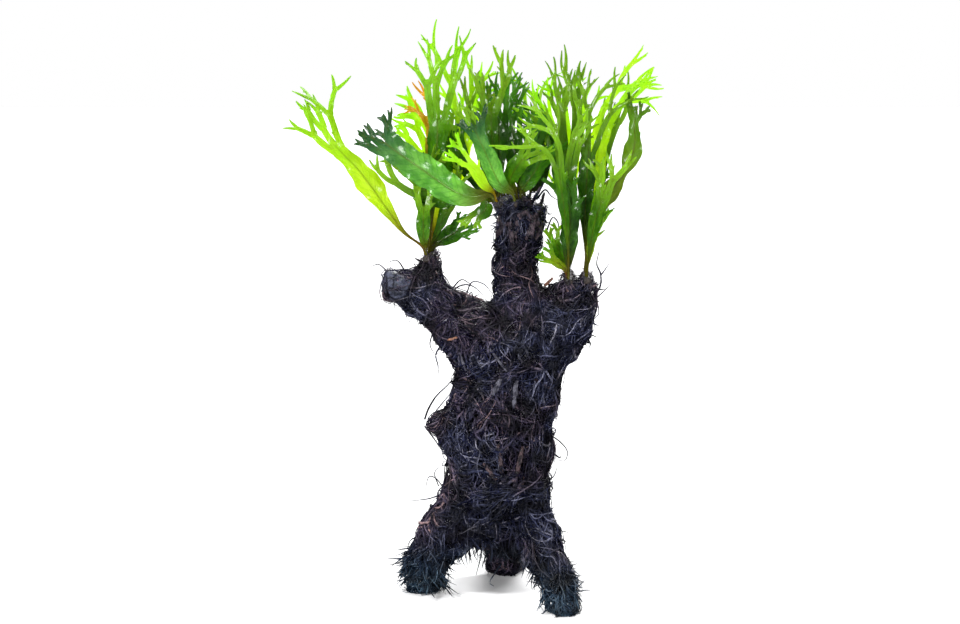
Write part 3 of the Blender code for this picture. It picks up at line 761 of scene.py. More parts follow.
# roots with a place of their own: (thickness in mm, points in mm)
looseRoots = [
    (0.55, [(58, -4, 154), (61, -5, 160), (61, -5, 166), (59, -6, 171), (60, -6, 177)]),
    (0.40, [(61, -5, 165), (63, -6, 168), (65, -6, 171)]),
    (0.38, [(59, -2, 153), (62, -3, 156), (66, -3, 160)]),
    (0.45, [(54, -6, 158), (57, -9, 163), (56, -9, 168)]),
    (0.42, [(36, -6, 84), (41, -8, 81), (45, -8, 76), (44, -8, 71), (40, -7, 71)]),
    (0.45, [(34, -8, 60), (38, -10, 63), (40, -10, 68)]),
    (0.60, [(38, -9, 75), (41, -10, 73), (42, -10, 74)]),
    (0.50, [(-17, -8, 132), (-21, -9, 126), (-20, -9, 120), (-20, -9, 114)]),
    (0.45, [(-22, -7, 138), (-24, -8, 131), (-22, -8, 126)]),
    (0.40, [(-18, -6, 53), (-25, -8, 51), (-33, -8, 50), (-35, -8, 50)]),
    (0.38, [(-17, -6, 55), (-21, -7, 61), (-25, -7, 62), (-27, -7, 54)]),
    (0.36, [(-20, -6, 57), (-22, -7, 64), (-19, -7, 68)]),
    (0.45, [(34, -3, 187), (37, -4, 194), (40, -4, 190), (38, -4, 182)]),
    (0.55, [(29, -4, 203), (33, -6, 208), (36, -6, 205), (39, -6, 203)]),
    (0.60, [(26, -5, 199), (29, -8, 206), (32, -8, 211), (31, -8, 216)]),
    (0.45, [(22, -6, 199), (24, -9, 205), (28, -9, 207), (31, -9, 203)]),
    (0.50, [(-15, -4, 155), (-9, -6, 160), (-3, -6, 160), (3, -5, 155)]),
    (0.42, [(-13, -3, 158), (-8, -5, 163), (-2, -4, 159)]),
    (0.40, [(-6, -5, 155), (-3, -7, 162), (3, -7, 161), (7, -5, 156)]),
    (0.42, [(-44, -6, 166), (-49, -8, 171), (-53, -8, 170)]),
    (0.40, [(-36, -6, 167), (-40, -8, 173), (-45, -8, 172)]),
    (0.45, [(45, -27, 8), (50, -30, 12), (53, -30, 15)]),
    (0.40, [(-30, -5, 25), (-39, -8, 22), (-42, -8, 21)]),
    (0.40, [(19, 10, 20), (25, 8, 19), (29, 6, 19)]),
    (0.50, [(2, -10, 27), (1, -12, 20), (-1, -12, 12)]),
    (0.45, [(5, -9, 24), (3, -11, 19), (2, -11, 15)]),
    (0.42, [(12, -6, 16), (8, -9, 11), (6, -9, 7), (8, -9, 5)]),
    (0.42, [(21, -6, 19), (23, -8, 14), (23, -8, 11)]),
    (0.50, [(-3, -8, 28), (-8, -10, 21), (-10, -10, 18)]),
    (0.45, [(-7, -8, 27), (-12, -10, 21), (-13, -10, 17)]),
    (0.45, [(-11, -8, 26), (-16, -10, 21), (-19, -10, 19)]),
    (0.50, [(-22, -12, 12), (-17, -15, 7), (-13, -16, 2)]),
    (0.45, [(-26, -13, 10), (-24, -17, 5), (-22, -18, 2)]),
    (0.55, [(-27, -2, 91), (-25, -5, 97), (-21, -7, 104), (-15, -7, 110), (-11, -5, 115)]),
    (0.45, [(-26, -3, 88), (-24, -6, 92), (-20, -8, 98), (-15, -7, 104), (-11, -5, 108)]),
    (0.45, [(-27, -5, 88), (-22, -8, 82), (-18, -9, 76)]),
    (0.42, [(-25, -6, 86), (-20, -9, 90), (-16, -10, 95)]),
]
plantShift = boxCenter("rhizome_right") - Vector((43.75, 0.5, 0)) * mm
plantShift.z = 0


def smoothLine(points, steps):
    line = []
    ends = [points[0] * 2 - points[1], *points, points[-1] * 2 - points[-2]]
    for a, b, c, d in zip(ends, ends[1:], ends[2:], ends[3:]):
        for step in range(steps):
            t = step / steps
            line.append(0.5 * (2 * b + (c - a) * t + (2 * a - 5 * b + 4 * c - d) * t ** 2
                               + (3 * b - a - 3 * c + d) * t ** 3))
    line.append(points[-1].copy())
    return line


def evenly(line, count):
    # the same line, with its points spread evenly
    lengths = [0.0]
    for a, b in zip(line, line[1:]):
        lengths.append(lengths[-1] + (b - a).length)
    places = np.linspace(0, lengths[-1], count)
    columns = np.array([list(point) for point in line])
    even = np.stack([np.interp(places, lengths, columns[:, axis]) for axis in range(3)], axis=1)
    return even, lengths[-1]


looseHabit = {"points": 26, "sides": 6, "tone": (0.1, 0.5), "taper": ([0, 0.5, 1], [1, 0.8, 0.35])}
loosePaths = [evenly(smoothLine([Vector(point) * mm for point in points], 8), looseHabit["points"])[0]
              for _, points in looseRoots]
rng = np.random.default_rng(7)
addTubes("loose_roots", loosePaths, [thickness * mm for thickness, _ in looseRoots], looseHabit["taper"],
         rng.uniform(*looseHabit["tone"], len(looseRoots)), looseHabit["sides"])

# strands that wind round the trunk: (height, spread, rise from left to right, how many, axis)
wraps = {
    "upper": (121, 6.0, 7, 200, (15, 0)),
    "middle": (101, 3.0, -3, 50, (11, 0)),
    "lower": (58, 7.0, 2, 200, (9, 0)),
    "neck": (176, 9.0, 2, 130, (17.5, 1)),
}
strandHabit = {
    "points": 16,
    "arc": (0.25, 1.0),  # how far round it goes, in radians
    "lift": (0.2, 3.0),
    "slope": 5.5,
    "jitter": 0.16,
    "sunk": 0.4,
    "radius": (0.16, 0.46),
    "taper": ([0, 0.15, 0.85, 1], [0.4, 1, 1, 0.3]),
}


def windStrands(name, seed):
    height, spread, rise, count, axis = wraps[name]
    centre = Vector((*axis, 0)) * mm + plantShift
    rng = np.random.default_rng(seed)
    paths = []
    for _ in range(count):
        start = rng.uniform(0, 2 * math.pi)
        arc = rng.uniform(*strandHabit["arc"]) * rng.choice((-1, 1))
        base = height + rng.normal(0, spread * 0.5)
        lift = rng.uniform(*strandHabit["lift"])
        slope = rng.normal(0, strandHabit["slope"])
        path = []
        for share in np.linspace(0, 1, strandHabit["points"]):
            angle = start + arc * share
            outward = Vector((math.cos(angle), math.sin(angle), 0))
            level = (base + rise * math.cos(angle) + slope * (share - 0.5)
                     + rng.normal(0, strandHabit["jitter"]))
            origin = centre + Vector((0, 0, level * mm))
            hit = skin.ray_cast(origin, outward, 60 * mm)[0] or origin + outward * 20 * mm
            path.append(hit + outward * (lift * math.sin(math.pi * share) - strandHabit["sunk"]) * mm)
        paths.append(path)
    addTubes("wrap_" + name, paths, rng.uniform(*strandHabit["radius"], count) * mm, strandHabit["taper"],
             rng.beta(1.1, 2.5, count), 4)


for seed, name in enumerate(wraps):
    windStrands(name, 300 + seed)

# thick old roots that run down the trunk
veterans = {"count": 90, "points": 14, "stride": 2.4 * mm, "radius": (0.45 * mm, 0.95 * mm), "from": 0.35,
            "lift": (-2.2, 0.8), "wander": 0.38, "pull": 0.12, "tone": (0.3, 0.85), "sides": 6,
            "taper": ([0, 0.2, 0.7, 1], [0.5, 1, 0.8, 0.2])}
down = Vector((0, 0, -1))
rng = np.random.default_rng(9)
starts, _ = stretchSeeds(shell, "trunk", veterans["count"], (0, 0, veterans["from"]), (1, 1, 1), rng, 0)
paths = [traceRoot(start, down, veterans["points"], veterans["stride"],
                   rng.uniform(*veterans["lift"]) * mm,
                   veterans["wander"], down, veterans["pull"], rng) for start in starts]
addTubes("old_roots", paths, rng.uniform(*veterans["radius"], veterans["count"]), veterans["taper"],
         rng.uniform(*veterans["tone"], veterans["count"]), veterans["sides"])
print("loose roots grown")


# chips of bare wood in the mat
chipHabit = {"cuts": 9, "ends": 0.35, "ragged": 0.28, "grain": 1.1 * mm, "rough": 0.75}


def makeChip(name, start, end, width, thick, seed):
    # a splinter: a subdivided block, pinched at its ends and roughened
    start, end = Vector(start), Vector(end)
    bpy.ops.object.select_all(action="DESELECT")
    bpy.ops.mesh.primitive_cube_add(size=1)
    chip = bpy.context.active_object
    chip.name = name
    bpy.ops.object.mode_set(mode="EDIT")
    bpy.ops.mesh.subdivide(number_cuts=chipHabit["cuts"])
    bpy.ops.object.mode_set(mode="OBJECT")
    length = (end - start).length
    turn = (end - start).to_track_quat("Z", "Y").to_matrix()
    for vert in chip.data.vertices:
        share = vert.co.z + 0.5
        bulge = math.sin(math.pi * min(1, max(0, share * 0.9 + 0.05))) ** 0.6
        pinch = chipHabit["ends"] + (1 - chipHabit["ends"]) * bulge
        local = Vector((vert.co.x * width * pinch, vert.co.y * thick * pinch, vert.co.z * length))
        ragged = noise.noise(Vector((vert.co.x * 5 + seed, vert.co.y * 5, vert.co.z * 2)))
        local += Vector((ragged, ragged * 0.6, ragged * 1.8)) * width * chipHabit["ragged"]
        vert.co = (start + end) / 2 + turn @ local
    applyModifier(chip, "SUBSURF", levels=1, render_levels=1)
    roughen(chip, name + "Grain", chipHabit["grain"], thick * chipHabit["rough"], 0.5)
    chip.data.shade_smooth()
    return chip


def onFront(x, z, out=0.0):
    # the place on the front of the wood at this x and z, in mm
    origin = Vector((x, -80, z)) * mm
    hit = skin.ray_cast(origin, Vector((0, 1, 0)))[0] or skin.find_nearest(Vector((x, -8, z)) * mm)[0]
    return hit + Vector((0, -out * mm, 0))


# name: (x and z of one end, of the other end, width, thickness, how far it stands out, finish)
frontChips = {
    "pale_stick_1": ((11, 117), (7.5, 108.5), 2.3, 1.7, 1.0, paleWood),
    "pale_stick_2": ((19, 116), (17.5, 102), 1.9, 1.5, 0.9, paleWood),
    "pale_stick_3": ((-9, 128), (-6, 119), 1.4, 1.2, 0.8, paleWood),
    "pale_stick_4": ((6, 132), (14, 121), 1.2, 1.1, 0.9, paleWood),
    "red_chunk_1": ((10, 84), (12, 69), 2.6, 2.0, 0.3, redWood),
    "red_chunk_2": ((22, 82), (19, 67), 2.4, 1.9, 0.3, redWood),
    "red_chunk_3": ((3, 74), (9, 66), 2.6, 2.0, 0.2, redWood),
    "red_chunk_4": ((28, 116), (36, 110), 2.0, 1.6, 0.2, redWood),
    "orange_bit_1": ((-15, 135), (-10.5, 136.5), 1.7, 1.0, 1.4, orangeBit),
    "bare_wood_5": ((-2, 26), (8, 22), 6.0, 3.0, 0.2, purpleWood),
}
for seed, (name, (first, last, width, thick, out, look)) in enumerate(frontChips.items()):
    chip = makeChip(name, onFront(*first, out), onFront(*last, out), width * mm, thick * mm, seed * 3.7)
    finishPiece(chip, look)

# the broken wood at the top of the middle branch
brokenTop = {"chips": 26, "x": (7, 31), "z": (187, 202), "length": (5, 11), "width": (1.6, 3.4)}
rng = np.random.default_rng(77)
for k in range(brokenTop["chips"]):
    x, z = rng.uniform(*brokenTop["x"]), rng.uniform(*brokenTop["z"])
    length, lean = rng.uniform(*brokenTop["length"]), rng.normal(0.45, 0.55)
    out = rng.uniform(-0.4, 1.0)
    ends = [onFront(x + side * length / 2 * math.sin(lean), z + side * length / 2 * math.cos(lean), out)
            for side in (-1, 1)]
    chip = makeChip("broken_wood_%d" % (k + 1), *ends, rng.uniform(*brokenTop["width"]) * mm, 1.6 * mm,
                    200 + k * 1.7)
    finishPiece(chip, purpleWood)

# splinters that stand free: (one end, other end, width, thickness, finish)
freeChips = {
    "splinter_1": ((25, -3, 198), (31, -5, 209), 2.2, 1.4, purpleWood),
    "splinter_2": ((30, 0, 196), (33, -1, 206), 1.8, 1.3, purpleWood),
    "splinter_3": ((21, -7, 197), (19, -11, 206), 2.0, 1.2, purpleWood),
    "splinter_4": ((11, -6, 196), (7, -9, 204), 2.4, 1.5, purpleWood),
    "rim_knot": ((27, -6, 199), (22, -9, 204), 3.2, 2.6, purpleWood),
    "orange_bit_2": ((33, -6, 160), (37, -8, 164), 2.0, 1.2, orangeBit),
    "brown_bit_1": ((-26, -6, 171), (-31, -8, 174), 1.5, 1.0, redWood),
    "brown_bit_2": ((-22, -7, 172), (-19, -9, 176), 1.4, 1.0, redWood),
}
for seed, (name, (first, last, width, thick, look)) in enumerate(freeChips.items()):
    chip = makeChip(name, Vector(first) * mm, Vector(last) * mm, width * mm, thick * mm, 60 + seed * 2.3)
    finishPiece(chip, look)

# the bare, smooth end of the left arm
bareEnd = {"length": 11 * mm, "drop": 18 * mm, "cut": (0.92, 0, -0.38), "grain": 0.7 * mm,
           "rounding": 200,
           "swell": 0.9 * mm, "lumpSize": 3.5 * mm, "lumps": 2.6 * mm}
armEnd = copyNode("arm_left", "bare_end")
armLow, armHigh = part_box("arm_left")
shaper = bmesh.new()
shaper.from_mesh(armEnd.data)
allOfIt = shaper.verts[:] + shaper.edges[:] + shaper.faces[:]
cutPlace = (armLow[0] + bareEnd["length"], 0, armHigh[2] - bareEnd["drop"])
bmesh.ops.bisect_plane(shaper, geom=allOfIt, plane_co=cutPlace, plane_no=bareEnd["cut"], clear_outer=True)
bmesh.ops.holes_fill(shaper, edges=[edge for edge in shaper.edges if edge.is_boundary])
shaper.to_mesh(armEnd.data)
shaper.free()
applyModifier(armEnd, "REMESH", mode="VOXEL", voxel_size=bareEnd["grain"])
applyModifier(armEnd, "SMOOTH", iterations=bareEnd["rounding"])
applyModifier(armEnd, "DISPLACE", strength=bareEnd["swell"], mid_level=0.0)
roughen(armEnd, "bareEndLumps", bareEnd["lumpSize"], bareEnd["lumps"], 0.5)
armEnd.data.shade_smooth()
finishPiece(armEnd, greyWood)
bpy.data.objects.remove(shell)
print("wood chips set")


# name: (CAD node, height of the wood's top under it, x and y of points along the stem), in mm
rhizomes = {
    "left": ("rhizome_left", 172, [(-27, -11), (-26, -4), (-25, 3), (-24.5, 10), (-24, 17)]),
    "middle": ("rhizome_middle", 199.5, [(8, -14), (9, -6), (12, 2), (16, 9), (21, 15)]),
    "middleSide": ("rhizome_middle_side", 199.5, [(17, -10), (19, -4), (24, 0)]),
    "right": ("rhizome_right", 161.5, [(43, -16), (43, -8), (43.5, 0), (44, 8), (44.5, 17)]),
    "rightSide": ("rhizome_right_side", 161.5, [(52, -13), (52, -5), (52, 3), (52.5, 11)]),
}
stem = {"radius": 2.4, "gap": 0.3, "grain": 0.45 * mm, "rounding": 8, "scaleSize": 1.6 * mm,
        "scales": 1.5 * mm}
beardHabit = {"count": 190, "droop": 0.9, "spread": 0.4, "stride": (0.4, 1.1), "radius": (0.10, 0.24),
              "taper": ([0, 0.4, 1], [1, 0.85, 0.2])}


def rhizomeLine(name):
    _, top, points = rhizomes[name]
    return [Vector((x, y, top + stem["gap"] + stem["radius"])) for x, y in points]


for seed, (name, (node, _, _)) in enumerate(rhizomes.items()):
    creeper = copyNode(node, "creeping_" + node)
    applyModifier(creeper, "REMESH", mode="VOXEL", voxel_size=stem["grain"])
    applyModifier(creeper, "SMOOTH", iterations=stem["rounding"])
    roughen(creeper, "scales" + name, stem["scaleSize"], stem["scales"], 0.45)
    creeper.data.shade_smooth()
    finishPiece(creeper, rhizomeLook, (node,))
    rng = np.random.default_rng(500 + seed)
    starts, normals = surfaceSeeds(creeper, beardHabit["count"], rng)
    paths = []
    for start, normal in zip(starts, normals):
        heading = (Vector(normal) + Vector((0, 0, -beardHabit["droop"]))
                   + Vector(rng.normal(0, beardHabit["spread"], 3)))
        stride = rng.uniform(*beardHabit["stride"]) * mm
        paths.append(freeHair(start, heading, hairHabit["points"], stride, 0.3, 0.12, rng))
    addTubes("beard_" + node, paths, rng.uniform(*beardHabit["radius"], beardHabit["count"]) * mm,
             beardHabit["taper"], rng.beta(1.8, 1.6, beardHabit["count"]))
print("rhizomes made")


# leaf shapes: where the crest starts, and (place along the leaf, share of the blade's width)
outlines = {
    "strap": (0.57, [(0, 0.03), (0.10, 0.06), (0.20, 0.30), (0.34, 0.76), (0.46, 1), (0.57, 0.88),
                     (1, 0.6)]),
    "waisted": (0.66, [(0, 0.05), (0.12, 0.1), (0.2, 0.22), (0.32, 0.6), (0.43, 1), (0.56, 0.72),
                       (0.66, 0.46),
                       (1, 0.5)]),
    "lobed": (0.86, [(0, 0.08), (0.2, 0.12), (0.34, 0.35), (0.43, 1), (0.49, 0.95), (0.56, 0.34),
                     (0.63, 0.8),
                     (0.71, 1), (0.79, 0.62), (0.86, 0.36), (1, 0.3)]),
    "broad": (0.8, [(0, 0.04), (0.06, 0.2), (0.2, 0.7), (0.36, 1), (0.55, 0.96), (0.8, 0.8), (1, 0.6)]),
    "low": (0.62, [(0, 0.04), (0.08, 0.14), (0.2, 0.56), (0.34, 0.94), (0.46, 1), (0.62, 0.84),
                   (1, 0.6)]),
}
# name: (rhizome, place along it, blade width, crest width, outline, twist, finish, points on the midrib)
leafPlans = {
    "left_01": ("left", 0.20, 12.5, 17, "waisted", 12, "leaf_pale",
        [(-38, -8, 188), (-47, -10, 201), (-59, -11, 218), (-71, -12, 231), (-78, -12, 243),
         (-87, -12, 259)]),
    "left_02": ("left", 0.38, 9, 18, "strap", 6, "leaf_green",
        [(-24, -4, 199), (-22, -3, 221), (-21, -4, 245), (-21, -5, 267), (-19, -5, 289)]),
    "left_03": ("left", 0.66, 11, 17, "low", 0, "leaf_pale",
        [(-24, 9, 200), (-26, 10, 222), (-34, 10, 240), (-47, 10, 251)]),
    "left_04": ("left", 0.90, 7.5, 14, "strap", 10, "leaf_mid",
        [(-18, 17, 197), (-13, 18, 224), (-13, 18, 245), (-15, 18, 256)]),
    "left_05": ("left", 0.78, 6.5, 13, "strap", 0, "leaf_pale",
        [(-15, 12, 200), (-9, 12, 231), (-9, 12, 258), (-5, 12, 285)]),
    "left_06": ("left", 0.56, 9, 10, "low", 0, "leaf_dark",
        [(-16, 5, 184), (-9, 4, 189), (-3, 4, 195)]),
    "left_07": ("left", 0.48, 3, 4, "strap", 0, "leaf_decayed",
        [(-27, 3, 206), (-26, 3, 227), (-28, 3, 244), (-38, 3, 258)]),
    "left_08": ("left", 0.29, 5, 8, "strap", 0, "leaf_mid",
        [(-27, -9, 195), (-28, -10, 214), (-27, -11, 233)]),
    "left_09": ("left", 0.08, 7, 7, "low", 0, "leaf_mid",
        [(-28, -13, 185), (-28, -14, 196), (-27, -14, 207), (-24, -14, 216)]),
    "middle_01": ("middle", 0.11, 15, 13, "broad", 8, "leaf_silver",
        [(-4, -15, 206), (-13, -17, 209), (-30, -20, 221), (-46, -23, 233), (-57, -24, 245)]),
    "middle_02": ("middle", 0.34, 12, 13, "strap", 0, "leaf_mid",
        [(3, -4.5, 208), (-7, -8, 206), (-20, -11, 206), (-33, -13, 213), (-43, -14, 222),
         (-50, -14, 231)]),
    "middle_03": ("middle", 0.03, 5.5, 8, "low", 0, "leaf_pale",
        [(2, -21, 212), (-3, -25, 220), (-11, -28, 228), (-18, -30, 235)]),
    "middle_04": ("middleSide", 0.06, 9, 9, "broad", -12, "leaf_silver",
        [(9, -18, 213), (2, -25, 229), (-3, -29, 240), (-7, -31, 249)]),
    "middle_05": ("middle", 0.26, 6.5, 16, "strap", 10, "leaf_mid",
        [(8, -9, 216), (6, -8, 228), (5, -8, 246), (6, -8, 264), (7, -8, 278)]),
    "middle_06": ("middleSide", 0.30, 9, 11, "low", -10, "leaf_mid",
        [(14, -14, 213), (18, -19, 222), (27, -22, 231), (33, -23, 238)]),
    "middle_07": ("middleSide", 0.70, 9.5, 14, "low", 0, "leaf_dark",
        [(21, -2, 213), (24, -1, 224), (26, -1, 236), (23, -1, 248)]),
    "middle_08": ("middleSide", 0.94, 9.5, 12, "low", 0, "leaf_dark",
        [(27, 3, 209), (30, 4, 219), (31, 4.5, 230), (31, 4.5, 241)]),
    "middle_09": ("middle", 0.19, 7, 7, "low", 0, "leaf_mid",
        [(2, -11.5, 199), (-3, -12, 195), (-7, -12, 188)]),
    "middle_10": ("middle", 0.55, 6.5, 12, "strap", 0, "leaf_mid",
        [(6, 0, 214), (0, 0, 236), (-2, 0, 251), (0, 0, 266)]),
    "middle_11": ("middle", 0.74, 8.5, 13, "low", 0, "leaf_dark",
        [(4, 7, 207), (-6, 7.5, 217), (-14, 8, 230), (-19, 8, 241)]),
    "middle_12": ("middle", 0.92, 8, 12, "strap", 0, "leaf_dark",
        [(17, 17, 216), (13, 19, 234), (12, 20, 250), (10, 21, 262)]),
    "right_01": ("rightSide", 0.42, 9.5, 12, "lobed", 14, "leaf_olive",
        [(56, -5, 185), (60, -5, 200), (65, -5, 209), (71, -5, 218), (75, -5, 230), (75, -5, 242),
         (78, -5, 256)]),
    "right_02": ("rightSide", 0.78, 9.5, 9, "strap", 0, "leaf_pale",
        [(54, 5, 189), (57, 6, 216), (60, 6, 236), (67, 6, 249), (77, 6, 258), (88, 6, 264),
         (94, 6, 267)]),
    "right_03": ("right", 0.50, 7, 12, "strap", 0, "leaf_green",
        [(42, 1, 192), (38, 1, 222), (35, 1, 247), (32, 1, 265)]),
    "right_04": ("right", 0.36, 9, 13, "strap", -10, "leaf_green",
        [(43, -6, 194), (42, -7, 222), (41, -8, 248), (41, -8, 266), (42, -8, 275)]),
    "right_05": ("rightSide", 0.18, 8.5, 14, "strap", 8, "leaf_green",
        [(51, -11, 195), (52, -13, 223), (55, -13, 249), (58, -13, 265), (60, -13, 273)]),
    "right_06": ("rightSide", 0.94, 6.5, 11, "strap", 0, "leaf_mid",
        [(56, 12, 189), (60, 12, 219), (64, 12, 242), (68, 12, 262)]),
    "right_07": ("right", 0.18, 9, 12, "strap", 6, "leaf_green",
        [(43, -17, 192), (42, -18, 213), (43, -18, 230), (47, -18, 246), (49, -18, 258)]),
    "right_08": ("right", 0.07, 9, 9, "low", -8, "leaf_dark",
        [(43, -20, 183), (43, -22, 199), (41, -23, 213), (39, -23, 225)]),
    "right_09": ("rightSide", 0.06, 7, 6, "strap", 0, "leaf_mid",
        [(55, -18, 192), (59, -20, 207), (62, -20, 223), (64, -20, 233)]),
    "right_10": ("rightSide", 0.30, 4.5, 5, "low", 0, "leaf_olive",
        [(54, -7.5, 181), (57, -8.5, 191), (61, -9, 202)]),
    "right_11": ("right", 0.12, 4.5, 6, "low", 0, "leaf_olive",
        [(38, -14.5, 173), (33, -16, 177), (28, -17, 182)]),
    "right_12": ("right", 0.27, 5, 6, "low", 0, "leaf_mid",
        [(39, -8, 177), (36, -9, 186), (34, -9, 196)]),
    "right_13": ("right", 0.80, 7.5, 11, "strap", 0, "leaf_dark",
        [(42, 14, 196), (40, 15, 221), (33, 15, 236), (21, 15, 245), (11, 15, 251)]),
    "right_14": ("right", 0.02, 5, 7, "strap", 0, "leaf_mid",
        [(42, -23, 185), (39, -29, 208), (34, -32, 231), (21, -33, 241), (8, -33, 246)]),
    "right_15": ("right", 0.96, 6, 12, "strap", 0, "leaf_pale",
        [(43, 21, 199), (37, 24, 224), (28, 25, 240), (18, 25, 256), (18, 25, 269)]),
    "right_16": ("right", 0.64, 6, 10, "strap", 0, "leaf_pale",
        [(41, 8, 200), (35, 10, 233), (28, 11, 254), (23, 11, 267)]),
    "inner_01": ("middleSide", 0.82, 10, 12, "low", 0, "leaf_dark",
        [(19, 1, 213), (17, 5, 226), (15, 7, 242), (14, 7, 256)]),
    "inner_02": ("middle", 0.45, 9, 12, "strap", 0, "leaf_mid",
        [(5, -4, 213), (1, -5, 230), (-2, -5, 245), (-4, -6, 259)]),
    "inner_03": ("left", 0.97, 8, 15, "strap", 0, "leaf_pale",
        [(-16, 20, 198), (-9, 22, 224), (-6, 23, 250), (-4, 23, 270)]),
    "inner_04": ("left", 0.33, 4.5, 6, "strap", 0, "leaf_mid",
        [(-21, -6, 189), (-15, -9, 201), (-9, -10, 213)]),
    "inner_05": ("left", 0.52, 5, 6, "strap", 0, "leaf_mid",
        [(-20, 1, 192), (-14, 1, 207), (-8, 0, 222)]),
    "inner_06": ("right", 0.60, 7, 13, "strap", 0, "leaf_pale",
        [(43, 4, 196), (46, 5, 225), (47, 6, 250), (50, 6, 274)]),
    "inner_07": ("rightSide", 0.60, 4.5, 7, "strap", 0, "leaf_mid",
        [(53, -1, 184), (57, -2, 200), (60, -3, 216)]),
    "inner_08": ("middleSide", 0.5, 9, 10, "low", 8, "leaf_dark",
        [(21, -9, 210), (27, -11, 219), (31, -12, 228), (34, -12, 236)]),
    "inner_09": ("middle", 0.62, 9, 12, "strap", 0, "leaf_dark",
        [(10, 4, 216), (9, 6, 236), (8, 6, 252), (8, 5, 268)]),
}
leafHabit = {
    "stalk": 0.7,  # half width
    "mesh": 0.95,  # size of the blade's faces
    "thickness": 0.34,
    "wave": 0.11,
    "ruffle": 1.5,
    "fold": 0.22,  # how far the two halves fold up from the midrib
    "ribRadius": (0.8, 0.16),
    "ribPoints": 60,
    "ribSides": 8,
    "stations": 90,
    "ruffleLength": (2.1, 3.2),
    "billow": 0.5,
    "sway": 9,  # how far the crest's fingers stray from the leaf's face
    "curl": 3,
    "fingerFold": 0.45,
}
# fingers of the crest, in mm; pairs are the least and the most
crestHabit = {
    "steps": 8,
    "tip": 0.13,  # half width of a finger's tip
    "narrowing": 0.12,
    "uneven": (0.93, 1.07),
    "spikes": ((0, 0, 1), (0, 1, 1, 2)),  # side spikes on a tip and on an arm, as equal chances
    "spikeLength": ((1.2, 2.4), (1.6, 4.5)),
    "spikeLean": (0.3, 0.75),
    "spikeBend": (-0.3, 0.9),
    "spikeWidth": (0.9, 1.2),
    "forkSpread": (0.24, 0.46),
    "forkUneven": (0.6, 1.3),
    "forkBend": (-0.5, 0.6),
    "forkLength": (0.42, 0.72),
    "forkWidth": (0.6, 0.78),
    "armReach": (0.42, 0.62),
    "teeth": (0, 1, 1, 2),  # small fingers on each side of the blade
    "toothPlace": (0.72, 0.97),
    "toothLean": (0.25, 0.6),
    "toothBend": (-0.3, 0.6),
    "toothLength": (3, 9),
    "toothWidth": (1.0, 1.9),
}


def shareAt(outline, place):
    # the mean of three near places rounds the corners
    places, shares = zip(*outline)
    return sum(np.interp((place - 0.025, place, place + 0.025), places, shares)) / 3


def growFinger(fingers, base, heading, bend, length, width, level, rng):
    # one finger of the crest: a strip that bends and splits in two, down to pointed tips
    steps, tip = crestHabit["steps"], crestHabit["tip"]
    line, headings = [base], [heading]
    for k in range(steps):
        headings.append(heading + bend * (k + 1) / steps)
        line.append(line[-1] + Vector((math.sin(headings[-1]), math.cos(headings[-1]))) * length / steps)
    if level:
        narrowing, uneven = crestHabit["narrowing"], crestHabit["uneven"]
        halves = [width / 2 * (1 - narrowing * k / steps) * rng.uniform(*uneven)
                  for k in range(steps + 1)]
    else:
        halves = [tip + (width / 2 - tip) * (1 - k / steps) ** 0.7 for k in range(steps + 1)]
    fingers.append((line, halves))
    spikes = rng.choice(crestHabit["spikes"][level > 0])
    side = rng.choice((-1, 1))
    for _ in range(spikes if length > 3 else 0):
        k = rng.randint(2, steps - 2)
        side = -side
        growFinger(fingers, line[k], headings[k] + side * rng.uniform(*crestHabit["spikeLean"]),
                   -side * rng.uniform(*crestHabit["spikeBend"]),
                   rng.uniform(*crestHabit["spikeLength"][level > 0]),
                   max(0.8, halves[k] * rng.uniform(*crestHabit["spikeWidth"])), 0, rng)
    if level == 0:
        return
    spread = rng.uniform(*crestHabit["forkSpread"])
    aside = Vector((math.cos(headings[-1]), -math.sin(headings[-1])))
    for side in (-1, 1):
        growFinger(fingers, line[-2] + aside * side * halves[-1] * 0.42,
                   headings[-1] + side * spread * rng.uniform(*crestHabit["forkUneven"]),
                   -side * rng.uniform(*crestHabit["forkBend"]),
                   length * rng.uniform(*crestHabit["forkLength"]),
                   max(1.35, width * rng.uniform(*crestHabit["forkWidth"])), level - 1, rng)


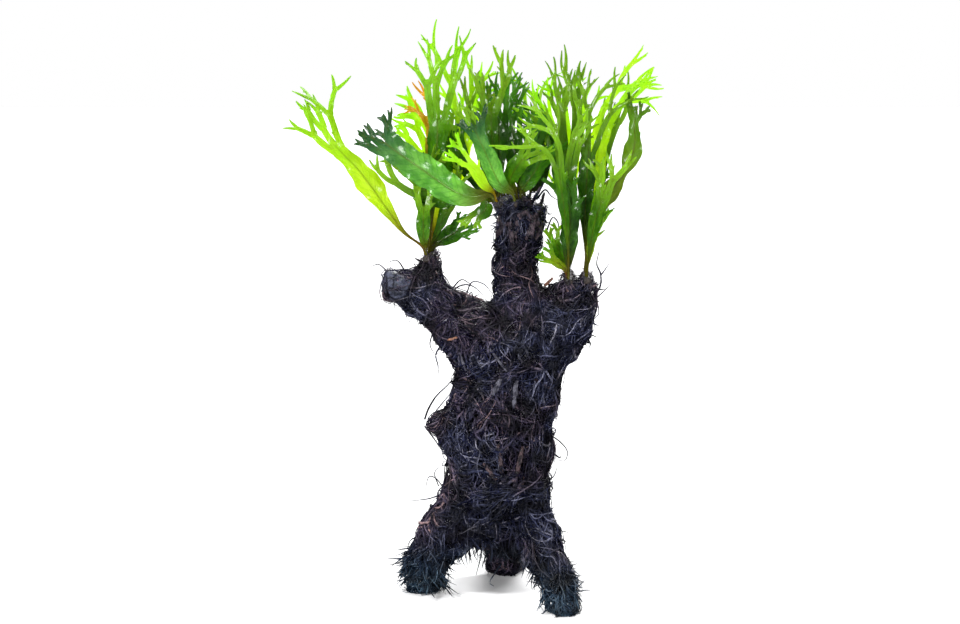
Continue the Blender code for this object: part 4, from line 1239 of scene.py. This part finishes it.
def leafOutline(plan, length, rng):
    # the flat leaf, in mm: the blade's edge, and the fingers of its crest with x across and y along
    _, _, width, crest, outline, _, _, _ = plan
    crestPlace, shape = outlines[outline]
    start = crestPlace * length
    phases = [rng.uniform(0, 6.28) for _ in range(4)]

    def edge(along, side):
        half = max(leafHabit["stalk"] * 0.7, width / 2 * shareAt(shape, along / length))
        fade = min(1, max(0, (along / length - 0.2) * 5))
        slow, quick = math.sin(along / 3.4 + phases[side]), math.sin(along / 1.4 + phases[side + 2])
        return half * (1 + leafHabit["wave"] * (slow * 0.55 + quick * 0.45) * fade)

    steps = int(start / leafHabit["mesh"])
    places = [start * k / steps for k in range(steps + 1)]
    blade = [Vector((-edge(along, 0), along)) for along in places]
    blade += [Vector((edge(along, 1), along)) for along in reversed(places)]
    fingers = []
    # small teeth on the sides of the blade
    for side in (-1, 1):
        for _ in range(rng.choice(crestHabit["teeth"])):
            along = start * rng.uniform(*crestHabit["toothPlace"])
            base = Vector((side * edge(along, side > 0) * 0.7, along))
            growFinger(fingers, base, side * rng.uniform(*crestHabit["toothLean"]),
                       -side * rng.uniform(*crestHabit["toothBend"]),
                       rng.uniform(*crestHabit["toothLength"]),
                       rng.uniform(*crestHabit["toothWidth"]), rng.choice((0, 0, 1)), rng)
    top = edge(start, 0)
    arms = 2 if width < 7.5 else 3 if width < 13 else 4
    spread = math.atan2(crest * 0.62 - top * 0.5, length - start)
    for k in range(arms):
        share = 2 * k / (arms - 1) - 1
        wide = max(2.2, crest * 0.2, 2 * top / arms * rng.uniform(0.95, 1.2))
        sunk = rng.uniform(0, 4) * (1 - abs(share))
        base = Vector((share * (top - wide * 0.5), start - wide * 0.5 - sunk))
        reach = (length - start) * rng.uniform(*crestHabit["armReach"])
        growFinger(fingers, base, spread * share * 1.25 + rng.uniform(-0.08, 0.08),
                   -spread * share * 0.5 + rng.uniform(-0.2, 0.2), reach, wide, 2, rng)
    return blade, fingers, edge, start


def fillLeaf(blade, fingers, edge, start):
    # triangles over the flat leaf, its fingers merged with the blade
    points, rims = list(blade), [list(range(len(blade)))[::-1]]
    for line, halves in fingers:
        rim = []
        for side in (-1, 1):
            order = range(len(line)) if side < 0 else range(len(line) - 1, -1, -1)
            for k in order:
                before, after = line[max(0, k - 1)], line[min(len(line) - 1, k + 1)]
                ahead = (after - before).normalized()
                rim.append(line[k] + Vector((ahead.y, -ahead.x)) * halves[k] * side)
        rims.append(list(range(len(points), len(points) + len(rim)))[::-1])
        points += rim
    along = leafHabit["mesh"]
    while along < start:
        limit = min(edge(along, 0), edge(along, 1)) - 0.4
        across = 0.0
        while across < limit:
            points.append(Vector((across, along)))
            if across:
                points.append(Vector((-across, along)))
            across += 0.45 if across < 0.4 else leafHabit["mesh"]
        along += leafHabit["mesh"]
    for line, halves in fingers:
        points += [point for point, half in zip(line, halves) if half > 0.5]
    verts, _, faces, _, _, owners = delaunay_2d_cdt(points, [], rims, 1, 0.01)
    return verts, [face for face, owner in zip(faces, owners) if owner]


def fingerSides(flat, fingers):
    # how far each point is from the middle line of its finger, -1 and 1 at the edges
    spots = np.array([list(point) for point in flat])
    best = np.full(len(spots), 9.0)
    signed = np.zeros(len(spots))
    for line, halves in fingers:
        for a, b, half in zip(line, line[1:], halves):
            start, run = np.array(a), np.array(b) - np.array(a)
            share = np.clip(((spots - start) @ run) / (run @ run), 0, 1)
            off = spots - start - share[:, None] * run
            away = np.linalg.norm(off, axis=1) / half
            closer = away < best
            best[closer] = away[closer]
            signed[closer] = (np.sign(off[:, 0] * run[1] - off[:, 1] * run[0]) * away)[closer]
    return np.clip(signed, -1, 1)


def leafStations(plan):
    # points and directions along the midrib, in mm
    rhizome, place, _, _, _, twist, _, points = plan
    line = rhizomeLine(rhizome)
    even, _ = evenly(line, 201)
    root = Vector(even[round(place * 200)])
    first = Vector(points[0])
    toward = (first - root).normalized()
    toward = (toward + Vector((0, 0, 0.6))).normalized()
    base = root + toward * (stem["radius"] - 0.9)
    above = root + toward * (stem["radius"] + 4.4)
    spine = smoothLine([base, above, *[Vector(point) for point in points]], 10)
    even, length = evenly(spine, leafHabit["stations"] + 1)
    stations = []
    for k in range(leafHabit["stations"] + 1):
        before, after = max(0, k - 2), min(leafHabit["stations"], k + 2)
        along = Vector(even[after] - even[before]).normalized()
        across = along.cross(Vector((0, 1, 0))).normalized() * -1
        across.rotate(Matrix.Rotation(math.radians(twist) * k / leafHabit["stations"], 3, along))
        stations.append((Vector(even[k]), along, across, across.cross(along).normalized()))
    return stations, length


def setLeafCoord(mesh, coords):
    attribute = mesh.attributes.new("leafCoord", "FLOAT_VECTOR", "POINT")
    attribute.data.foreach_set("vector", np.array(coords, np.float32).ravel())


def makeLeaf(name, seed):
    plan = leafPlans[name]
    _, _, width, _, _, _, finish, _ = plan
    rng = random.Random(seed)
    stations, length = leafStations(plan)
    blade, fingers, edge, start = leafOutline(plan, length, rng)
    flat, faces = fillLeaf(blade, fingers, edge, start)
    own = fingerSides(flat, fingers)
    phase = [rng.uniform(0, 6.28) for _ in range(6)]
    ruffleLength = rng.uniform(*leafHabit["ruffleLength"])
    curl = rng.uniform(-1, 1)
    shade = rng.random()

    def placed(across, along, fingerSide=0.0):
        t = along / length * leafHabit["stations"]
        k = min(leafHabit["stations"] - 1, max(0, int(t)))
        part = t - k
        (placeA, _, acrossA, faceA), (placeB, _, acrossB, faceB) = stations[k], stations[k + 1]
        spot = placeA + (placeB - placeA) * part
        beside = acrossA.lerp(acrossB, min(1, part))
        out = faceA.lerp(faceB, min(1, part))
        half = max(0.6, edge(min(along, start), 0))
        side = max(-1, min(1, across / half))
        inBlade = min(1, max(0, (along / length - 0.16) * 4))
        past = min(1, max(0, (along - start) / (length - start)))
        lift = -abs(side) * half * leafHabit["fold"] * inBlade * (1 - past)
        beat = math.sin(along / ruffleLength + phase[0 if across < 0 else 1])
        lift += leafHabit["ruffle"] * side * side * beat * inBlade * min(1, width / 9) * (1 - past)
        lift += leafHabit["billow"] * math.sin(along / 9 + phase[2]) * inBlade
        sway = noise.noise(Vector((across * 0.16 + seed, along * 0.06, phase[3])))
        lift += (sway * leafHabit["sway"] + curl * leafHabit["curl"] * past) * past
        lift -= abs(fingerSide) * leafHabit["fingerFold"] * min(1, past * 4)
        return (spot + beside * across + out * lift) * mm + plantShift, side

    verts, coords = [], []
    for point, fingerSide in zip(flat, own):
        spot, side = placed(point.x, point.y, fingerSide)
        verts.append(spot)
        past = min(1, max(0, (point.y - start) / 4))
        coords.append((side + (fingerSide - side) * past, point.y / length, shade))
    mesh = bpy.data.meshes.new("blade_" + name)
    mesh.from_pydata(verts, [], faces)
    setLeafCoord(mesh, coords)
    leaf = newPiece("blade_" + name, mesh)
    applyModifier(leaf, "SOLIDIFY", thickness=leafHabit["thickness"] * mm, offset=0)
    # the stalk and midrib, round and raised on both sides
    count, sides = leafHabit["ribPoints"], leafHabit["ribSides"]
    ends = start * 1.04
    ribPath = np.array([[placed(0, ends * k / (count - 1))[0] for k in range(count)]])
    thin, fine = leafHabit["ribRadius"]
    girth = min(1, 0.55 + width / 30)
    ribRadii = np.interp(np.linspace(0, 1, count), [0, 0.05, 0.3, 1],
                         [thin * 1.25, thin, thin * 0.6, fine]) * girth * mm
    ribMesh = makeTubes(ribPath, ribRadii[None, :], None, sides)
    ribCoords = np.zeros((count, sides, 3), np.float32)
    ribCoords[:, :, 1] = (np.linspace(0, ends, count) / length)[:, None]
    ribCoords[:, :, 2] = shade
    setLeafCoord(ribMesh, ribCoords)
    leaf = joinAll([leaf, newPiece("rib_" + name, ribMesh)], "blade_" + name)
    leaf.data.shade_smooth()
    leaf.data.set_sharp_from_angle(angle=math.radians(60))
    node = "leaf_" + name
    finishPiece(leaf, leafLooks[finish],
                [node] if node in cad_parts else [])


for seed, name in enumerate(leafPlans):
    makeLeaf(name, 900 + seed)
print("leaves made")


# the floor, sky, lamps and camera
stage = {"size": 8, "floor": (0.92, 0.92, 0.925), "skyLight": 0.09, "skySeen": 1.0}
bpy.ops.mesh.primitive_plane_add(size=stage["size"])
floor = bpy.context.active_object
floor.name = "floor"
floor.visible_glossy = False  # keeps the wet leaves deep green
floorLook, _, _, floorShader = newMaterial("floorLook", 0.8, 0.2)
floorShader.inputs["Base Color"].default_value = (*stage["floor"], 1)
floor.data.materials.append(floorLook)

world = bpy.data.worlds.new("studio")
bpy.context.scene.world = world
world.use_nodes = True
skyNodes, skyLinks = world.node_tree.nodes, world.node_tree.links
sky = skyNodes["Background"]
sky.inputs["Color"].default_value = (1, 1, 1, 1)
# white behind the object, softer as a light
seen = skyNodes.new("ShaderNodeLightPath").outputs["Is Camera Ray"]
skyLinks.new(rangeOf(skyNodes, skyLinks, seen, 0.0, 1.0, stage["skyLight"], stage["skySeen"]),
             sky.inputs["Strength"])

lights = {
    # name: place, kind, strength, spread (a sun's angle in degrees, a panel's size in metres)
    "backSun": ((0.30, 0.95, 0.95), "SUN", 4.5, 55),
    "keySun": ((-0.75, -0.50, 1.30), "SUN", 2.8, 7),
    "leftPanel": ((-0.42, -0.95, 0.42), "AREA", 7.5, 0.30),
    "rightPanel": ((0.60, -0.70, 0.60), "AREA", 5.0, 0.26),
}
middle = Vector((0, 0, (cadBox[0][2] + cadBox[1][2]) / 2))
for name, (place, kind, strength, spread) in lights.items():
    lamp = bpy.data.lights.new(name, kind)
    lamp.energy = strength
    if kind == "SUN":
        lamp.angle = math.radians(spread)
    else:
        lamp.size = spread
    made = bpy.data.objects.new(name, lamp)
    bpy.context.scene.collection.objects.link(made)
    made.location = place
    made.rotation_euler = (middle - Vector(place)).to_track_quat("-Z", "Y").to_euler()

view = {"distance": 0.9, "elevation": 10, "lens": 67.5, "aim": (0.001, -0.0044, 0.1465)}
camera = bpy.data.objects.new("camera", bpy.data.cameras.new("camera"))
bpy.context.scene.collection.objects.link(camera)
camera.data.lens = view["lens"]
tilt = math.radians(view["elevation"])
aim = Vector(view["aim"])
camera.location = aim + Vector((0, -math.cos(tilt), math.sin(tilt))) * view["distance"]
camera.rotation_euler = (aim - camera.location).to_track_quat("-Z", "Y").to_euler()
bpy.context.scene.camera = camera
